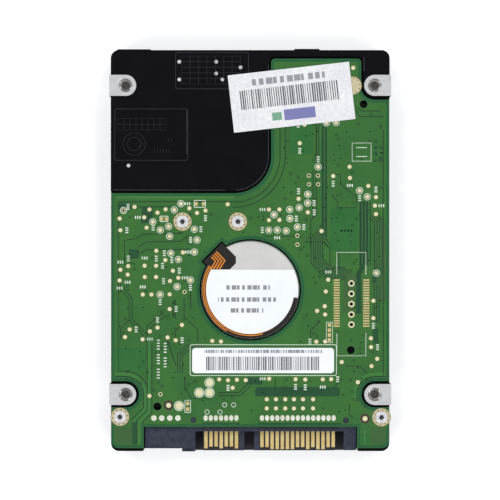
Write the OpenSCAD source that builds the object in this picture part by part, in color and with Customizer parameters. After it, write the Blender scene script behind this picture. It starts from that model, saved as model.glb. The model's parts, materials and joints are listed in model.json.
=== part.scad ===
// Hard disk drive, 2.5 inch, 9.5 mm high, standing on its cover with the circuit board on top.
// Origin: middle of the footprint, on the cover's outer face.
// X is the width. Y runs from the interface connector (-Y) to the front edge (+Y).
// Z rises from the cover to the circuit board. Every height below is measured from the cover.

/* [Enclosure] */
// Width across the side walls
body_w = 69.2; // [69:0.1:69.4]
// Width across the machined side pads
pad_w = 69.85; // [69.65:0.05:70.1]
// Rear wall, where the connector sits
rear_y = -49.8; // [-49.9:0.1:-49.6]
// Front wall
front_y = 49.8; // [49.7:0.1:49.9]
// Front edge of the two locating lips
lip_y = 50.1; // [50:0.1:50.2]
// Corner radius seen from above
corner_r = 2; // [1.5:0.1:2.5]
// Full height, to the top of the mounting lugs
drive_h = 9.5; // [9.4:0.1:9.7]
// Height of the raised deck over the actuator
deck_z = 8.9; // [8.85:0.05:9]
// Sheet thickness of the cover
sheet = 0.5; // [0.4:0.05:0.5]
// Thickness of the floor between the disks and the board
floor_t = 0.9; // [0.8:0.05:0.9]

/* [Mounting] */
// Distance between the bottom hole columns
bottom_pitch_x = 61.72; // [61.5:0.01:62]
// Distance between the hole rows
hole_pitch_y = 76.6; // [76.4:0.1:76.8]
// Row of holes nearer the connector
rear_hole_y = -35.6; // [-35.8:0.1:-35.4]
// Tapping radius of the M3 holes
m3_r = 1.25; // [1.2:0.01:1.3]
// Depth of the bottom holes
bottom_hole_l = 3; // [2.5:0.1:3]
// Depth of the side holes
side_hole_l = 2.6; // [2:0.1:2.6]
// Side hole axis below the lug tops
side_hole_drop = 3; // [2.9:0.1:3.1]

/* [Disks] */
// Outer radius of a disk
disk_r = 32.5; // [32.3:0.1:32.6]
// Inner radius of a disk
disk_bore_r = 10; // [9.98:0.01:10.02]
// Thickness of a disk
disk_t = 0.635; // [0.6:0.005:0.65]
// Underside of the disk nearer the cover
low_disk_z = 1.45; // [1.43:0.01:1.47]
// Underside of the disk nearer the floor
high_disk_z = 3.75; // [3.73:0.01:3.77]
// Distance of the spindle axis from the middle, towards the connector
spindle_y = -9.7; // [-9.8:0.1:-9.6]

/* [Actuator] */
// Pivot axis, across
pivot_x = -13; // [-13.1:0.1:-12.9]
// Pivot axis, along
pivot_y = 26.5; // [26.4:0.1:26.6]
// Reach from the pivot to the heads
head_reach = 35; // [34.9:0.1:35.1]
// Direction of the arms with the heads parked
park_angle = -14.1; // [-14.3:0.1:-13.9]

/* [Circuit board] */
// Board thickness
board_t = 0.8; // [0.7:0.05:0.8]
// Gap between the board edge and the raised deck
deck_gap = 0.5; // [0.4:0.05:0.6]
// Gap between the board and a mounting lug
lug_gap = 0.65; // [0.5:0.05:0.7]
// Radius of the opening for the motor
motor_opening_r = 12.6; // [12.5:0.1:12.8]

/* [Connector] */
// Pitch of the contacts
contact_pitch = 1.27; // [1.27]
// Width of a contact
contact_w = 0.84; // [0.8:0.02:0.9]
// Rearmost edge of the connector shell
shell_y = -50.1; // [-50.2:0.1:-50]

/* [Hidden] */
$fn = 64;

eps = 0.01;
wall_x = body_w / 2;

// Heights of the main faces
flange_z = 0.3;
seam_z = flange_z + sheet;
rim_z = 8;
board_top = rim_z + board_t;
ceiling_z = 5.35;
bay_z = ceiling_z + floor_t;
pocket_z = 7.6;
side_hole_z = drive_h - side_hole_drop;
front_hole_y = rear_hole_y + hole_pitch_y;

// Mounting lugs: a tongue with a round inner end around each bottom hole
lug_r = 2.6;
lug_x = bottom_pitch_x / 2;
lug_rows = [rear_hole_y, front_hole_y];

// Disk bay and actuator bay
spindle = [0, spindle_y];
pivot = [pivot_x, pivot_y];
bay_r = disk_r + 0.8;
bay_x = 33.3;
bay_front = 47.6;
bay_shoulder = 14;

// Cover screws: four corners and two beside the disks, and one in the pivot shaft
edge_screws = [
    [-31.2, 46.6], [31.2, 46.6], [-31.6, 10.6], [31.6, 10.6], [-31.2, -46.3], [31.2, -46.3]
];
cover_screw_head_r = 1.6;
cover_screw_r = 0.95;
dimple_r = 2.2;
dimple_z = seam_z + sheet;
screw_boss_r = 3.4;

// Circuit board outline
board_x = 34.5;
board_rear = -48.95;
shoulder_y = 14.3;
tower_x0 = 5.2;
tower_x1 = 27.55;
tower_top = 47.7;
right_shoulder_y = 37.5;
deck_corner = [-4, 23.5];
deck_corner_r = 9.2;
board_holes = [[-16.8, 7.25], [-3.05, 7.25], [-32.3, -41.2], [32.55, -41.3]];
tooling_holes = [[-23.05, -38.65], [25, -24.65], [28.15, 36.4]];
board_screw_r = 0.8;
boss_r = 2.2;

// Connector
conn_x0 = -26.2;
conn_x1 = 26.4;
conn_top_y = -43.9;
conn_z0 = 2.4;
conn_z1 = 7.9;
tongue_z0 = 5.2;
tongue_z1 = 6.43;
contact_z0 = 6.3;
contact_t = 0.2;
pin_w = 0.5;
pin_z0 = 6.05;
signal_x0 = -11.05;
power_x0 = 2.93;
signal_long = [true, false, false, true, false, false, true];
power_long = [
    false, false, true, true, true, true, true, false, false, true, false, true, true, false, false
];
tail_y = -41.5;
jumper_x = [-23.9, -21.95, -19.95, -17.95];
peg_r = 0.65;
pegs = [[-14.1, -42], [23.75, -42.1]];

// Spindle motor
plate_r = 12.2;
plate_z1 = 8.5;
shaft_r = 1.5;
sleeve_r = 2.9;
sleeve_gap = 0.03;
boss_outer_r = 3.8;
hub_r = disk_bore_r - 0.05;
clamp_r = 12.2;
stator_teeth = 9;

// Actuator levels: arm nearest the cover, arm between the disks, arm nearest the floor
arm_z = [[0.66, 1.1], [2.47, 3.37], [4.7, 5.15]];
beam_t = 0.08;
fly = 0.03;
beam_z = [
    arm_z[0][1], arm_z[1][0] - beam_t, arm_z[1][1], arm_z[2][0] - beam_t
];
slider_z = [
    [beam_z[0] + beam_t, low_disk_z - fly],
    [low_disk_z + disk_t + fly, beam_z[1]],
    [beam_z[2] + beam_t, high_disk_z - fly],
    [high_disk_z + disk_t + fly, beam_z[3]]
];
pivot_shaft_r = 1.6;
pivot_bore_r = 4;
sleeve_bore_r = 3.5;
inner_race_r = 2.15;
outer_race_r = 3.05;
ball_r = 0.42;
race_z = [[1.6, 2.8], [4.8, 6]];
block_r = 5.5;
arm_reach = 24.5;
swage_reach = 22.3;
swage_r = 0.9;
tab_reach = 37.3;

// Voice coil motor, in polar terms about the pivot
coil_angle = park_angle + 180;
coil_z = [3.35, 4.85];
mould_z = [3.3, 4.9];
mould_half = 23.5;
mould_r0 = 7.6;
mould_r1 = 17;
yoke_r0 = 6.8;
yoke_r1 = 18.2;
yoke_a0 = 93;
yoke_a1 = 203;
magnet_a0 = 112;
magnet_a1 = 190;
yoke_t = 1;
low_yoke_z = 0.9;
magnet_t = 1.1;
stop_reach = 16;
stop_angles = [99, 197.5];
stop_r = 1.9;
post_r = 1.2;

// Latch
latch = [-29, 17.2];
latch_hub_r = 1.7;
latch_pin_r = 0.8;
latch_z = [3.3, 4.9];

// ---------- shared shapes ----------

function polar(r, a) = [r * cos(a), r * sin(a)];

function bezier(p, t) =
    pow(1 - t, 3) * p[0] + 3 * t * pow(1 - t, 2) * p[1]
    + 3 * t * t * (1 - t) * p[2] + pow(t, 3) * p[3];

module rounded(low, high, radius) {
    r = max(radius, 0.3);
    translate([low.x + r, low.y]) square([high.x - low.x - 2 * r, high.y - low.y]);
    translate([low.x, low.y + r]) square([high.x - low.x, high.y - low.y - 2 * r]);
    for (x = [low.x + r, high.x - r], y = [low.y + r, high.y - r])
        translate([x, y]) circle(r);
}

module block(low, high) {
    translate(low) cube(high - low);
}

module slab(z0, z1) {
    translate([0, 0, z0]) linear_extrude(z1 - z0) children();
}

module drum(p, r, z0, z1) {
    translate([p.x, p.y, z0]) cylinder(r = r, h = z1 - z0);
}

module ring_2d(r0, r1) {
    difference() {
        circle(r1);
        circle(r0);
    }
}

// Ring between two radii and two angles, less than a half turn wide
module sector(r0, r1, a0, a1) {
    far = 2.5 * r1;
    intersection() {
        ring_2d(r0, r1);
        polygon([[0, 0], polar(far, a0), polar(far, (a0 + a1) / 2), polar(far, a1)]);
    }
}

module at_spindle() {
    translate([spindle.x, spindle.y, 0]) children();
}

module at_pivot() {
    translate([pivot.x, pivot.y, 0]) children();
}

// Six sided socket in a screw head
module socket(p, r, z0, z1) {
    translate([p.x, p.y, z0]) cylinder(r = r, h = z1 - z0, $fn = 6);
}

// ---------- outlines ----------

module body_outline(g = 0) {
    rounded([-wall_x - g, rear_y - g], [wall_x + g, front_y + g], corner_r + g);
}

module lug_outline(side, y, g = 0) {
    translate([side * lug_x, y]) circle(lug_r + g);
    outer = pad_w / 2 - lug_x;
    translate([side > 0 ? lug_x : -lug_x - outer, y - lug_r - g])
        square([outer, 2 * (lug_r + g)]);
}

module board_outline(g = 0) {
    difference() {
        union() {
            rounded([-board_x - g, board_rear - g], [board_x + g, shoulder_y + g], 1.8 + g);
            translate([-board_x - g, 0]) square([2 * (board_x + g), shoulder_y + g]);
            rounded([tower_x0 - g, 5], [tower_x1 + g, tower_top + g], 1 + g);
            translate([tower_x1 - 2, 5])
                square([board_x + g - tower_x1 + 2, right_shoulder_y + g - 5]);
            translate([deck_corner.x, shoulder_y - 2])
                square([tower_x0 + 2 - deck_corner.x, deck_corner.y - shoulder_y + 2]);
            translate([tower_x1 - 2, right_shoulder_y - 2])
                square([lug_x - tower_x1 + 2, front_hole_y - right_shoulder_y + 2]);
        }
        translate(deck_corner) circle(deck_corner_r - g);
        translate([lug_x, front_hole_y]) circle(lug_r + 0.9 - g);
        translate([lug_x, right_shoulder_y + g]) square([10, 10]);
        for (side = [-1, 1]) {
            lug_outline(side, rear_hole_y, lug_gap - g);
            notch_r = lug_r + lug_gap - g;
            translate([side * pad_w / 2 - 1.5, rear_hole_y - notch_r]) square([3, 2 * notch_r]);
        }
        notch = [conn_x1 - conn_x0 + 0.5 - 2 * g, conn_top_y + 2.2 - g - rear_y];
        translate([conn_x0 - 0.3 + g, rear_y - 2]) square(notch);
    }
}

// Raised deck of the casting, in front of the board
module deck_outline() {
    difference() {
        intersection() {
            body_outline();
            translate([-40, shoulder_y + deck_gap]) square([80, 40]);
        }
        board_outline(deck_gap);
    }
}

module cavity_outline(g = 0) {
    difference() {
        union() {
            translate(spindle) circle(bay_r + g);
            rounded([-bay_x - g, bay_shoulder - g], [bay_x + g, bay_front + g], 2 + g);
        }
        for (side = [-1, 1]) {
            translate([side * 31.2, 46.6]) circle(screw_boss_r - g);
            translate([side * 31.2, front_hole_y]) circle(4.2 - g);
            translate([side * 31.2 + (side > 0 ? 0 : -5), 41]) square([5, 8]);
        }
    }
}

// Deeper pocket for the voice coil motor, under the deck
module actuator_pocket() {
    intersection() {
        cavity_outline();
        union() {
            translate([-bay_x, 16]) square([bay_x + deck_corner.x, 40]);
            translate([-bay_x, deck_corner.y]) square([bay_x + 3.5, 30]);
            translate(deck_corner) circle(7.5);
        }
    }
}

module plateau_outline(g = 0) {
    difference() {
        body_outline(g - 2.2);
        for (p = edge_screws) translate(p) circle(3.1 - g);
    }
}

// ---------- enclosure ----------

module base_casting() {
    color([0.1, 0.1, 0.12]) difference() {
        union() {
            slab(seam_z, rim_z) body_outline();
            slab(rim_z, deck_z) deck_outline();
            for (side = [-1, 1], y = lug_rows) slab(2.5, drive_h) lug_outline(side, y);
            block([-33, front_y - 1, 2], [-24.7, lip_y - 0.1, deck_z]);
            block([11, front_y - 1, 2], [17.2, lip_y, deck_z]);
        }
        difference() {
            slab(bay_z, rim_z + eps) board_outline(-1.2);
            for (p = board_holes) drum(p, boss_r, bay_z - eps, rim_z);
            drum(spindle, plate_r + 1.2, bay_z - eps, rim_z - 0.2);
        }
        slab(0, ceiling_z) cavity_outline();
        slab(ceiling_z - eps, pocket_z) actuator_pocket();
        drum(spindle, plate_r, ceiling_z - eps, rim_z + eps);
        slab(seam_z - eps, seam_z + 0.4) gasket_outline();
        connector_pocket();
        for (p = board_holes) drum(p, board_screw_r, 6, rim_z + eps);
        for (p = tooling_holes) drum(p, 1.3, bay_z, rim_z + eps);
        for (p = edge_screws) {
            drum(p, dimple_r, seam_z - eps, dimple_z);
            drum(p, cover_screw_r, dimple_z - eps, 5);
        }
        for (side = [-1, 1], y = lug_rows) mounting_holes(side, y);
        drum(pivot, pivot_shaft_r, pocket_z - eps, 8.3);
        for (a = stop_angles) drum(pivot + polar(stop_reach, a), 0.8, pocket_z - eps, 8.4);
        drum(latch, latch_pin_r, pocket_z - eps, 8.3);
        head_connector_hole();
        for (p = inner_screw_points) drum(p, 0.6, ceiling_z - eps, 6.05);
    }
}

module mounting_holes(side, y) {
    drum([side * lug_x, y], m3_r, drive_h - bottom_hole_l, drive_h + eps);
    translate([side * lug_x, y, drive_h - 0.4])
        cylinder(r1 = m3_r, r2 = 1.7, h = 0.45);
    translate([side * (pad_w / 2 + eps), y, side_hole_z])
        rotate([0, -side * 90, 0]) cylinder(r = m3_r, h = side_hole_l + eps);
}

module gasket_outline() {
    difference() {
        cavity_outline(0.95);
        cavity_outline(0.35);
    }
}

module connector_pocket() {
    low = [conn_x0 - 0.4, rear_y - 1, conn_z0 - 0.1];
    block(low, [conn_x1 + 0.4, conn_top_y + 0.15, rim_z + 1]);
    block([conn_x0 - 0.2, conn_top_y, 5.9], [conn_x1 + 0.2, -40.4, rim_z + eps]);
}

module cover_gasket() {
    color([0.12, 0.12, 0.12]) slab(seam_z, seam_z + 0.4) gasket_outline();
}

module top_cover() {
    color([0.75, 0.76, 0.78]) difference() {
        union() {
            slab(0, sheet) plateau_outline();
            slab(0, seam_z) difference() {
                plateau_outline();
                plateau_outline(-sheet);
            }
            slab(flange_z, seam_z) difference() {
                body_outline(-0.2);
                plateau_outline(-0.2);
            }
            for (p = edge_screws) drum(p, dimple_r, flange_z, dimple_z);
            drum(pivot, dimple_r, 0, dimple_z);
        }
        for (p = concat(edge_screws, [pivot])) {
            drum(p, dimple_r - 0.4, -eps, seam_z);
            drum(p, cover_screw_r + 0.1, seam_z - eps, dimple_z + eps);
        }
        slab(-eps, 0.1) label_recess();
        drum([20, 43], 0.6, -eps, sheet + eps);
        at_spindle() slab(0.1 - eps, 0.2) ring_2d(15, 16.4);
    }
}

module label_recess() {
    rounded([-29, -38], [29, 20.5], 1.5);
}

module drive_label() {
    color([0.93, 0.93, 0.94]) slab(0.02, 0.1) rounded([-28.7, -37.7], [28.7, 20.2], 1.2);
}

module cover_screws() {
    color([0.72, 0.72, 0.74]) for (p = edge_screws) cover_screw(p, 4.8);
    color([0.72, 0.72, 0.74]) cover_screw(pivot, 4.2);
}

module cover_screw(p, end_z) {
    difference() {
        union() {
            drum(p, cover_screw_head_r, 0.15, seam_z);
            drum(p, cover_screw_r, seam_z - eps, end_z);
        }
        socket(p, 0.85, 0, 0.5);
    }
}

module breather_filter() {
    color([0.9, 0.9, 0.88]) drum([20, 43], 3.2, sheet, 1.9);
}

module recirculation_filter() {
    color([0.95, 0.95, 0.93]) translate([30.4, 27.5, 0])
        slab(1, 5) rounded([-0.9, -5], [0.9, 5], 0.8);
}

module desiccant_pouch() {
    color([0.85, 0.85, 0.8]) slab(1.2, 4.8) rounded([-9, 42.4], [3.5, 46.9], 1);
}

// ---------- circuit board ----------

module circuit_board() {
    color([0.2, 0.46, 0.22]) slab(rim_z, board_top) difference() {
        board_outline();
        translate(spindle) circle(motor_opening_r);
        translate(spindle) rotate(135) translate([0, -3.6]) square([13.6, 7.2]);
        for (p = board_holes) translate(p) circle(0.95);
        for (p = tooling_holes) translate(p) circle(1);
        for (p = pegs) translate(p) circle(peg_r + 0.05);
        for (x = contact_columns()) translate([x, tail_y]) circle(0.42);
    }
}

function contact_columns() = concat(
    [for (i = [0:6]) signal_x0 + i * contact_pitch],
    [for (i = [0:14]) power_x0 + i * contact_pitch],
    jumper_x
);

module board_screws() {
    color([0.78, 0.78, 0.8]) for (p = board_holes) difference() {
        union() {
            drum(p, 1.5, board_top, board_top + 0.45);
            drum(p, board_screw_r, 6.1, board_top + eps);
        }
        socket(p, 0.75, board_top + 0.1, board_top + 1);
    }
}

module board_label() {
    color([0.95, 0.96, 0.97]) slab(board_top, board_top + 0.08)
        rounded([-14.4, -30.35], [20.8, -24.1], 0.8);
}

module asset_label() {
    color([0.92, 0.92, 0.94]) translate([10.25, 38.1, deck_z]) rotate(6.5)
        linear_extrude(0.08) square([30.3, 14.3], center = true);
}

module controller_chip() {
    color([0.1, 0.1, 0.1]) block([-31, -29, 6.85], [-18, -16, rim_z]);
}

module motor_driver_chip() {
    color([0.1, 0.1, 0.1]) block([-28.5, -9.5, 7], [-20.5, -1.5, rim_z]);
}

module cache_chip() {
    color([0.1, 0.1, 0.1]) block([17, -15, 6.95], [27, -5, rim_z]);
}

module flash_chip() {
    color([0.1, 0.1, 0.1]) block([20, 14, 7.1], [25, 18, rim_z]);
}

module board_passives() {
    small = [[0.8, 1.6, 0.8], [1.6, 0.8, 0.8]];
    color([0.7, 0.6, 0.45]) {
        for (i = [0:5]) translate([-30 + 2.6 * i, 1.5, rim_z - 0.8]) cube(small[0]);
        for (i = [0:5]) translate([-24 + 2.6 * i, -34, rim_z - 0.8]) cube(small[1]);
        for (i = [0:4]) translate([17.5, -2 + 2.4 * i, rim_z - 0.8]) cube(small[1]);
        block([-30.5, 5.5, 6.9], [-26.5, 9.5, rim_z]);
        block([21, -34, 7], [24.2, -31.5, rim_z]);
        block([8, 22, 7.2], [11.2, 24.5, rim_z]);
    }
}

module board_insulator() {
    color([0.2, 0.2, 0.22]) slab(bay_z, bay_z + 0.3) difference() {
        board_outline(-1.5);
        translate(spindle) circle(plate_r + 1.5);
        for (p = board_holes) translate(p) circle(boss_r + 0.3);
        translate([-40, -60]) square([80, 21]);
        translate([9, 34]) square([12.5, 6.2]);
    }
}

// ---------- connector ----------

module connector_housing() {
    tongue = [conn_top_y - 0.5, -49.8];
    color([0.26, 0.27, 0.33]) difference() {
        union() {
            block([conn_x0, -49.1, conn_z0], [-13.7, conn_top_y, conn_z1]);
            block([-17, shell_y, conn_z0], [-13.7, -49, 6.2]);
            block([-13.8, -44.9, conn_z0], [23.4, conn_top_y, conn_z1]);
            block([23.3, -49.6, conn_z0], [conn_x1, conn_top_y, conn_z1]);
            block([-13.8, shell_y, conn_z0], [24.5, conn_top_y - 0.1, conn_z0 + 0.8]);
            for (s = [[-11.8, -1.45], [1, 21]])
                block([s[0], tongue[1], tongue_z0], [s[1], tongue[0], tongue_z1]);
            for (s = [[-2.65, -1.45], [1, 2.3]])
                block([s[0], tongue[1], tongue_z0 - 1], [s[1], tongue[0], tongue_z1 + 0.1]);
            for (p = pegs) {
                drum(p, peg_r, 6.3, board_top + 0.15);
                block([p.x - 1.6, conn_top_y - 0.1, 6.3], [p.x + 1.6, p.y + 1.1, conn_z1]);
            }
        }
        block([-25, -49.2, 4.9], [-16.6, -45.4, 7.1]);
        contact_slots();
        for (x = jumper_x) pin_bar(x, pin_w + 0.04, -45.5, conn_top_y + 1, 0.02);
        block([-24.6, -50, 7.4], [-22.8, -48.4, 8.2]);
        block([-20.6, -50, 7.4], [-17.8, -48.8, 8.2]);
    }
}

module contact_slots() {
    for (i = [0:6]) contact_slot(signal_x0 + i * contact_pitch);
    for (i = [0:14]) contact_slot(power_x0 + i * contact_pitch);
}

module contact_slot(x) {
    translate([x - contact_w / 2, -49.6, contact_z0])
        cube([contact_w, conn_top_y + 50.6, contact_t]);
}

// Contact: blade on the tongue, a strip under the board and a tail up through it
module contact(x, tip_y) {
    translate([x - contact_w / 2, tip_y, contact_z0])
        cube([contact_w, conn_top_y - tip_y, contact_t]);
    translate([x - pin_w / 2, conn_top_y - eps, contact_z0])
        cube([pin_w, tail_y - conn_top_y, contact_t]);
    tail(x, contact_z0);
}

module tail(x, z0) {
    translate([x, tail_y, (z0 + board_top) / 2])
        cube([pin_w, pin_w, board_top - z0], center = true);
}

module pin_bar(x, w, y0, y1, g) {
    block([x - w / 2, y0, pin_z0 - g], [x + w / 2, y1, pin_z0 + pin_w + g]);
}

module signal_contacts() {
    color([0.85, 0.7, 0.35]) for (i = [0:6])
        contact(signal_x0 + i * contact_pitch, signal_long[i] ? -49.3 : -48.85);
}

module power_contacts() {
    color([0.85, 0.7, 0.35]) for (i = [0:14])
        contact(power_x0 + i * contact_pitch, power_long[i] ? -49.5 : -49);
}

module jumper_pins() {
    color([0.85, 0.7, 0.35]) for (x = jumper_x) {
        pin_bar(x, pin_w, -48.6, tail_y + pin_w / 2, 0);
        tail(x, pin_z0);
    }
}

module solder_joints() {
    color([0.92, 0.9, 0.8]) {
        for (i = [0:21]) translate([contact_columns()[i], tail_y, 0])
            slab(board_top, board_top + 0.12) {
                for (s = [-0.2, 0.2]) translate([0, s]) circle(0.53);
                square([1.06, 0.4], center = true);
            }
        for (x = jumper_x) drum([x, tail_y], 0.72, board_top, board_top + 0.12);
    }
}

// ---------- head signals ----------

inner_screw_points = [[6.7, 44.2], [23.2, 44.2], pivot + polar(40, -9)];

module head_connector_hole() {
    block([9.8, 35, ceiling_z - eps], [20.2, 39, rim_z]);
}

module head_connector() {
    color([0.9, 0.88, 0.8]) block([9.9, 35.1, ceiling_z - 0.6], [20.1, 38.9, rim_z - 0.05]);
}

module flex_bracket() {
    color([0.72, 0.73, 0.75]) difference() {
        slab(ceiling_z - 0.6, ceiling_z) rounded([5, 34], [25, 45.8], 1.5);
        block([9.8, 35, ceiling_z - 1], [20.2, 39, rim_z]);
        for (i = [0, 1]) drum(inner_screw_points[i], 0.7, ceiling_z - 1, ceiling_z + eps);
    }
}

module inner_screws() {
    heads = [ceiling_z - 0.6, ceiling_z - 0.6, ceiling_z - 1.8];
    color([0.72, 0.72, 0.74]) for (i = [0:2]) difference() {
        union() {
            drum(inner_screw_points[i], 1.1, heads[i] - 0.4, heads[i]);
            drum(inner_screw_points[i], 0.6, heads[i] - eps, 5.95);
        }
        socket(inner_screw_points[i], 0.5, heads[i] - 0.5, heads[i] - 0.15);
    }
}

// Flat cable in one smooth loop from the arms to the bracket
flex_path = [
    pivot + polar(block_r + 0.2, 48), pivot + polar(14, 48), [14, 30], [4.7, 42.5]
];
flex_t = 0.14;
flex_steps = 28;

function flex_side(k) = [
    for (i = [0:flex_steps])
        let (
            t = i / flex_steps,
            d = bezier(flex_path, min(1, t + 0.01)) - bezier(flex_path, max(0, t - 0.01))
        )
        bezier(flex_path, t) + k * flex_t / 2 * [-d.y, d.x] / norm(d)
];

module head_flex() {
    color([0.75, 0.5, 0.15]) slab(2.6, 4.6)
        polygon(concat(flex_side(1), [for (i = [flex_steps:-1:0]) flex_side(-1)[i]]));
}

// ---------- spindle motor ----------

module motor_plate() {
    color([0.83, 0.83, 0.82]) at_spindle() rotate_extrude() polygon([
        [sleeve_r, 3], [boss_outer_r, 3], [boss_outer_r, 7.7], [11.2, 7.7], [11.2, ceiling_z + 0.1],
        [plate_r, ceiling_z + 0.1], [plate_r, plate_z1 - 0.35], [plate_r - 0.2, plate_z1 - 0.15],
        [plate_r - 0.35, plate_z1], [0, plate_z1], [0, 7.7], [sleeve_r, 7.7]
    ]);
}

module motor_flex() {
    color([0.08, 0.07, 0.07]) at_spindle() slab(plate_z1, plate_z1 + 0.08) {
        ring = [10.3, 12.1];
        sector(ring[0], ring[1], 150, 250);
        sector(ring[0], ring[1], 249, 350);
        rotate(135) difference() {
            translate([7.2, -3.3]) square([6, 6.6]);
            translate([7.2, -3.3]) rotate(45) square([1.6, 1.6], center = true);
        }
    }
}

module motor_label() {
    color([0.95, 0.96, 0.98]) at_spindle() slab(plate_z1 + 0.08, plate_z1 + 0.14)
        intersection() {
            union() {
                circle(10.95);
                intersection() {
                    circle(11.9);
                    translate([0, -1.8]) square([20, 20]);
                }
            }
            translate([-20, 5.05 - 30]) square([40, 30]);
        }
}

module bearing_sleeve() {
    color([0.8, 0.68, 0.4]) at_spindle() slab(2.7, 7.4) ring_2d(shaft_r + sleeve_gap, sleeve_r);
}

module thrust_cap() {
    color([0.6, 0.6, 0.62]) at_spindle() drum([0, 0], sleeve_r, 7.4, 7.7);
}

module stator_core() {
    color([0.45, 0.45, 0.47]) at_spindle() slab(3.5, 5) {
        ring_2d(boss_outer_r, boss_outer_r + 0.9);
        for (i = [0:stator_teeth - 1]) rotate(i * 360 / stator_teeth) {
            translate([boss_outer_r + 0.5, -0.5]) square([2.6, 1]);
            sector(6.4, 7.15, -13, 13);
        }
    }
}

module stator_coils() {
    color([0.72, 0.4, 0.2]) at_spindle() for (i = [0:stator_teeth - 1])
        rotate(i * 360 / stator_teeth) difference() {
            block([4.9, -1.05, 3], [6.3, 1.05, 5.5]);
            block([4.8, -0.5, 3.5], [6.4, 0.5, 5]);
        }
}

module spindle_hub() {
    color([0.8, 0.8, 0.82]) at_spindle() rotate_extrude() polygon([
        [shaft_r, 1.45], [3.2, 1.45], [3.2, 1.2], [hub_r, 1.2], [hub_r, high_disk_z + disk_t],
        [12.4, high_disk_z + disk_t], [12.4, 5.05], [8.5, 5.05], [8.5, 2.3], [shaft_r, 2.3]
    ]);
}

module spindle_shaft() {
    color([0.65, 0.65, 0.68]) at_spindle() difference() {
        drum([0, 0], shaft_r, 1.45, 7.35);
        drum([0, 0], 0.8, 1.4, 4.2);
    }
}

module rotor_magnet() {
    color([0.25, 0.25, 0.27]) at_spindle() slab(2.8, 5) ring_2d(7.45, 8.5);
}

module platter(z) {
    color([0.82, 0.83, 0.85]) at_spindle() slab(z, z + disk_t) ring_2d(disk_bore_r, disk_r);
}

module cover_side_disk() {
    platter(low_disk_z);
}

module base_side_disk() {
    platter(high_disk_z);
}

module spacer_ring() {
    color([0.7, 0.7, 0.72]) at_spindle()
        slab(low_disk_z + disk_t, high_disk_z) ring_2d(disk_bore_r, clamp_r);
}

module disk_clamp() {
    color([0.78, 0.78, 0.8]) at_spindle() difference() {
        rotate_extrude() polygon([
            [0.9, 1.2], [2.7, 1.2], [3.1, 0.8], [clamp_r - 0.2, 0.8], [clamp_r, 1],
            [clamp_r, low_disk_z], [10.4, low_disk_z], [10.4, 1.2], [3.2, 1.2],
            [3.2, low_disk_z], [0.9, low_disk_z]
        ]);
        for (i = [0:5]) drum(polar(6.6, 60 * i), 0.9, 0.7, 1.3);
    }
}

module clamp_screw() {
    color([0.72, 0.72, 0.74]) at_spindle() difference() {
        union() {
            drum([0, 0], 2.3, 0.75, 1.2);
            drum([0, 0], 0.8, 1.2 - eps, 4);
        }
        socket([0, 0], 0.9, 0.7, 1);
    }
}

// ---------- actuator ----------

// Pivot shaft with the inner rings of both ball bearings
module pivot_shaft() {
    color([0.65, 0.65, 0.68]) at_pivot() difference() {
        union() {
            drum([0, 0], pivot_shaft_r, dimple_z, 8.2);
            for (z = race_z) drum([0, 0], inner_race_r, z[0], z[1]);
            drum([0, 0], 2.3, 6.6, pocket_z);
        }
        drum([0, 0], cover_screw_r, dimple_z - eps, 4.4);
    }
}

// Outer rings of the ball bearings
module pivot_races() {
    color([0.6, 0.6, 0.62]) at_pivot() for (z = race_z)
        slab(z[0], z[1]) ring_2d(outer_race_r, sleeve_bore_r);
}

module pivot_balls() {
    track_r = (inner_race_r + outer_race_r) / 2;
    color([0.85, 0.85, 0.87]) at_pivot() for (z = race_z, i = [0:9])
        rotate(36 * i) translate([track_r, 0, (z[0] + z[1]) / 2]) sphere(ball_r);
}

module pivot_sleeve() {
    color([0.7, 0.7, 0.73]) at_pivot() slab(1.5, 6.2) ring_2d(sleeve_bore_r, pivot_bore_r);
}

module arm_outline() {
    difference() {
        polygon([[0, -4.6], [10, -3.4], [arm_reach, -1.9], [arm_reach, 1.9], [10, 3.4], [0, 4.6]]);
        circle(pivot_bore_r);
        for (hole = [[9.5, 1.7], [13.2, 1.4], [16.6, 1.1], [swage_reach, swage_r]])
            translate([hole[0], 0]) circle(hole[1]);
    }
}

module head_arms() {
    color([0.78, 0.79, 0.8]) at_pivot() rotate(park_angle) {
        slab(arm_z[0][0], 6.2) ring_2d(pivot_bore_r, block_r);
        for (z = arm_z) slab(z[0], z[1]) arm_outline();
        slab(mould_z[0], mould_z[1]) rotate(180) sector(block_r - 0.3, mould_r0, -22, 22);
    }
}

module coil_outline() {
    difference() {
        sector(8.6, 16.4, -21, 21);
        sector(10.8, 14.2, -11, 11);
    }
}

module voice_coil() {
    color([0.72, 0.4, 0.2]) at_pivot() rotate(coil_angle) slab(coil_z[0], coil_z[1]) coil_outline();
}

module coil_overmould() {
    color([0.15, 0.15, 0.16]) at_pivot() rotate(coil_angle) difference() {
        slab(mould_z[0], mould_z[1]) {
            sector(mould_r0, mould_r1, -mould_half, mould_half);
            sector(mould_r1 - 0.3, mould_r1 + 0.6, 10, 12.5);
        }
        slab(mould_z[0] - eps, mould_z[1] + eps) sector(8.6, 16.4, -21, 21);
    }
}

module beam_outline() {
    side = [
        [arm_reach - 4.2, 1.8], [arm_reach + 0.4, 1.8], [head_reach - 1, 0.55],
        [head_reach + 0.9, 0.45], [tab_reach, 0.2]
    ];
    polygon(concat(side, [for (i = [4:-1:0]) [side[i].x, -side[i].y]]));
}

module suspensions() {
    color([0.85, 0.85, 0.86]) at_pivot() rotate(park_angle) for (z = beam_z)
        slab(z, z + beam_t) difference() {
            beam_outline();
            translate([swage_reach, 0]) circle(swage_r);
        }
}

module head_sliders() {
    color([0.2, 0.2, 0.22]) at_pivot() rotate(park_angle) for (z = slider_z)
        block([head_reach - 0.62, -0.5, z[0]], [head_reach + 0.62, 0.5, z[1]]);
}

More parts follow.
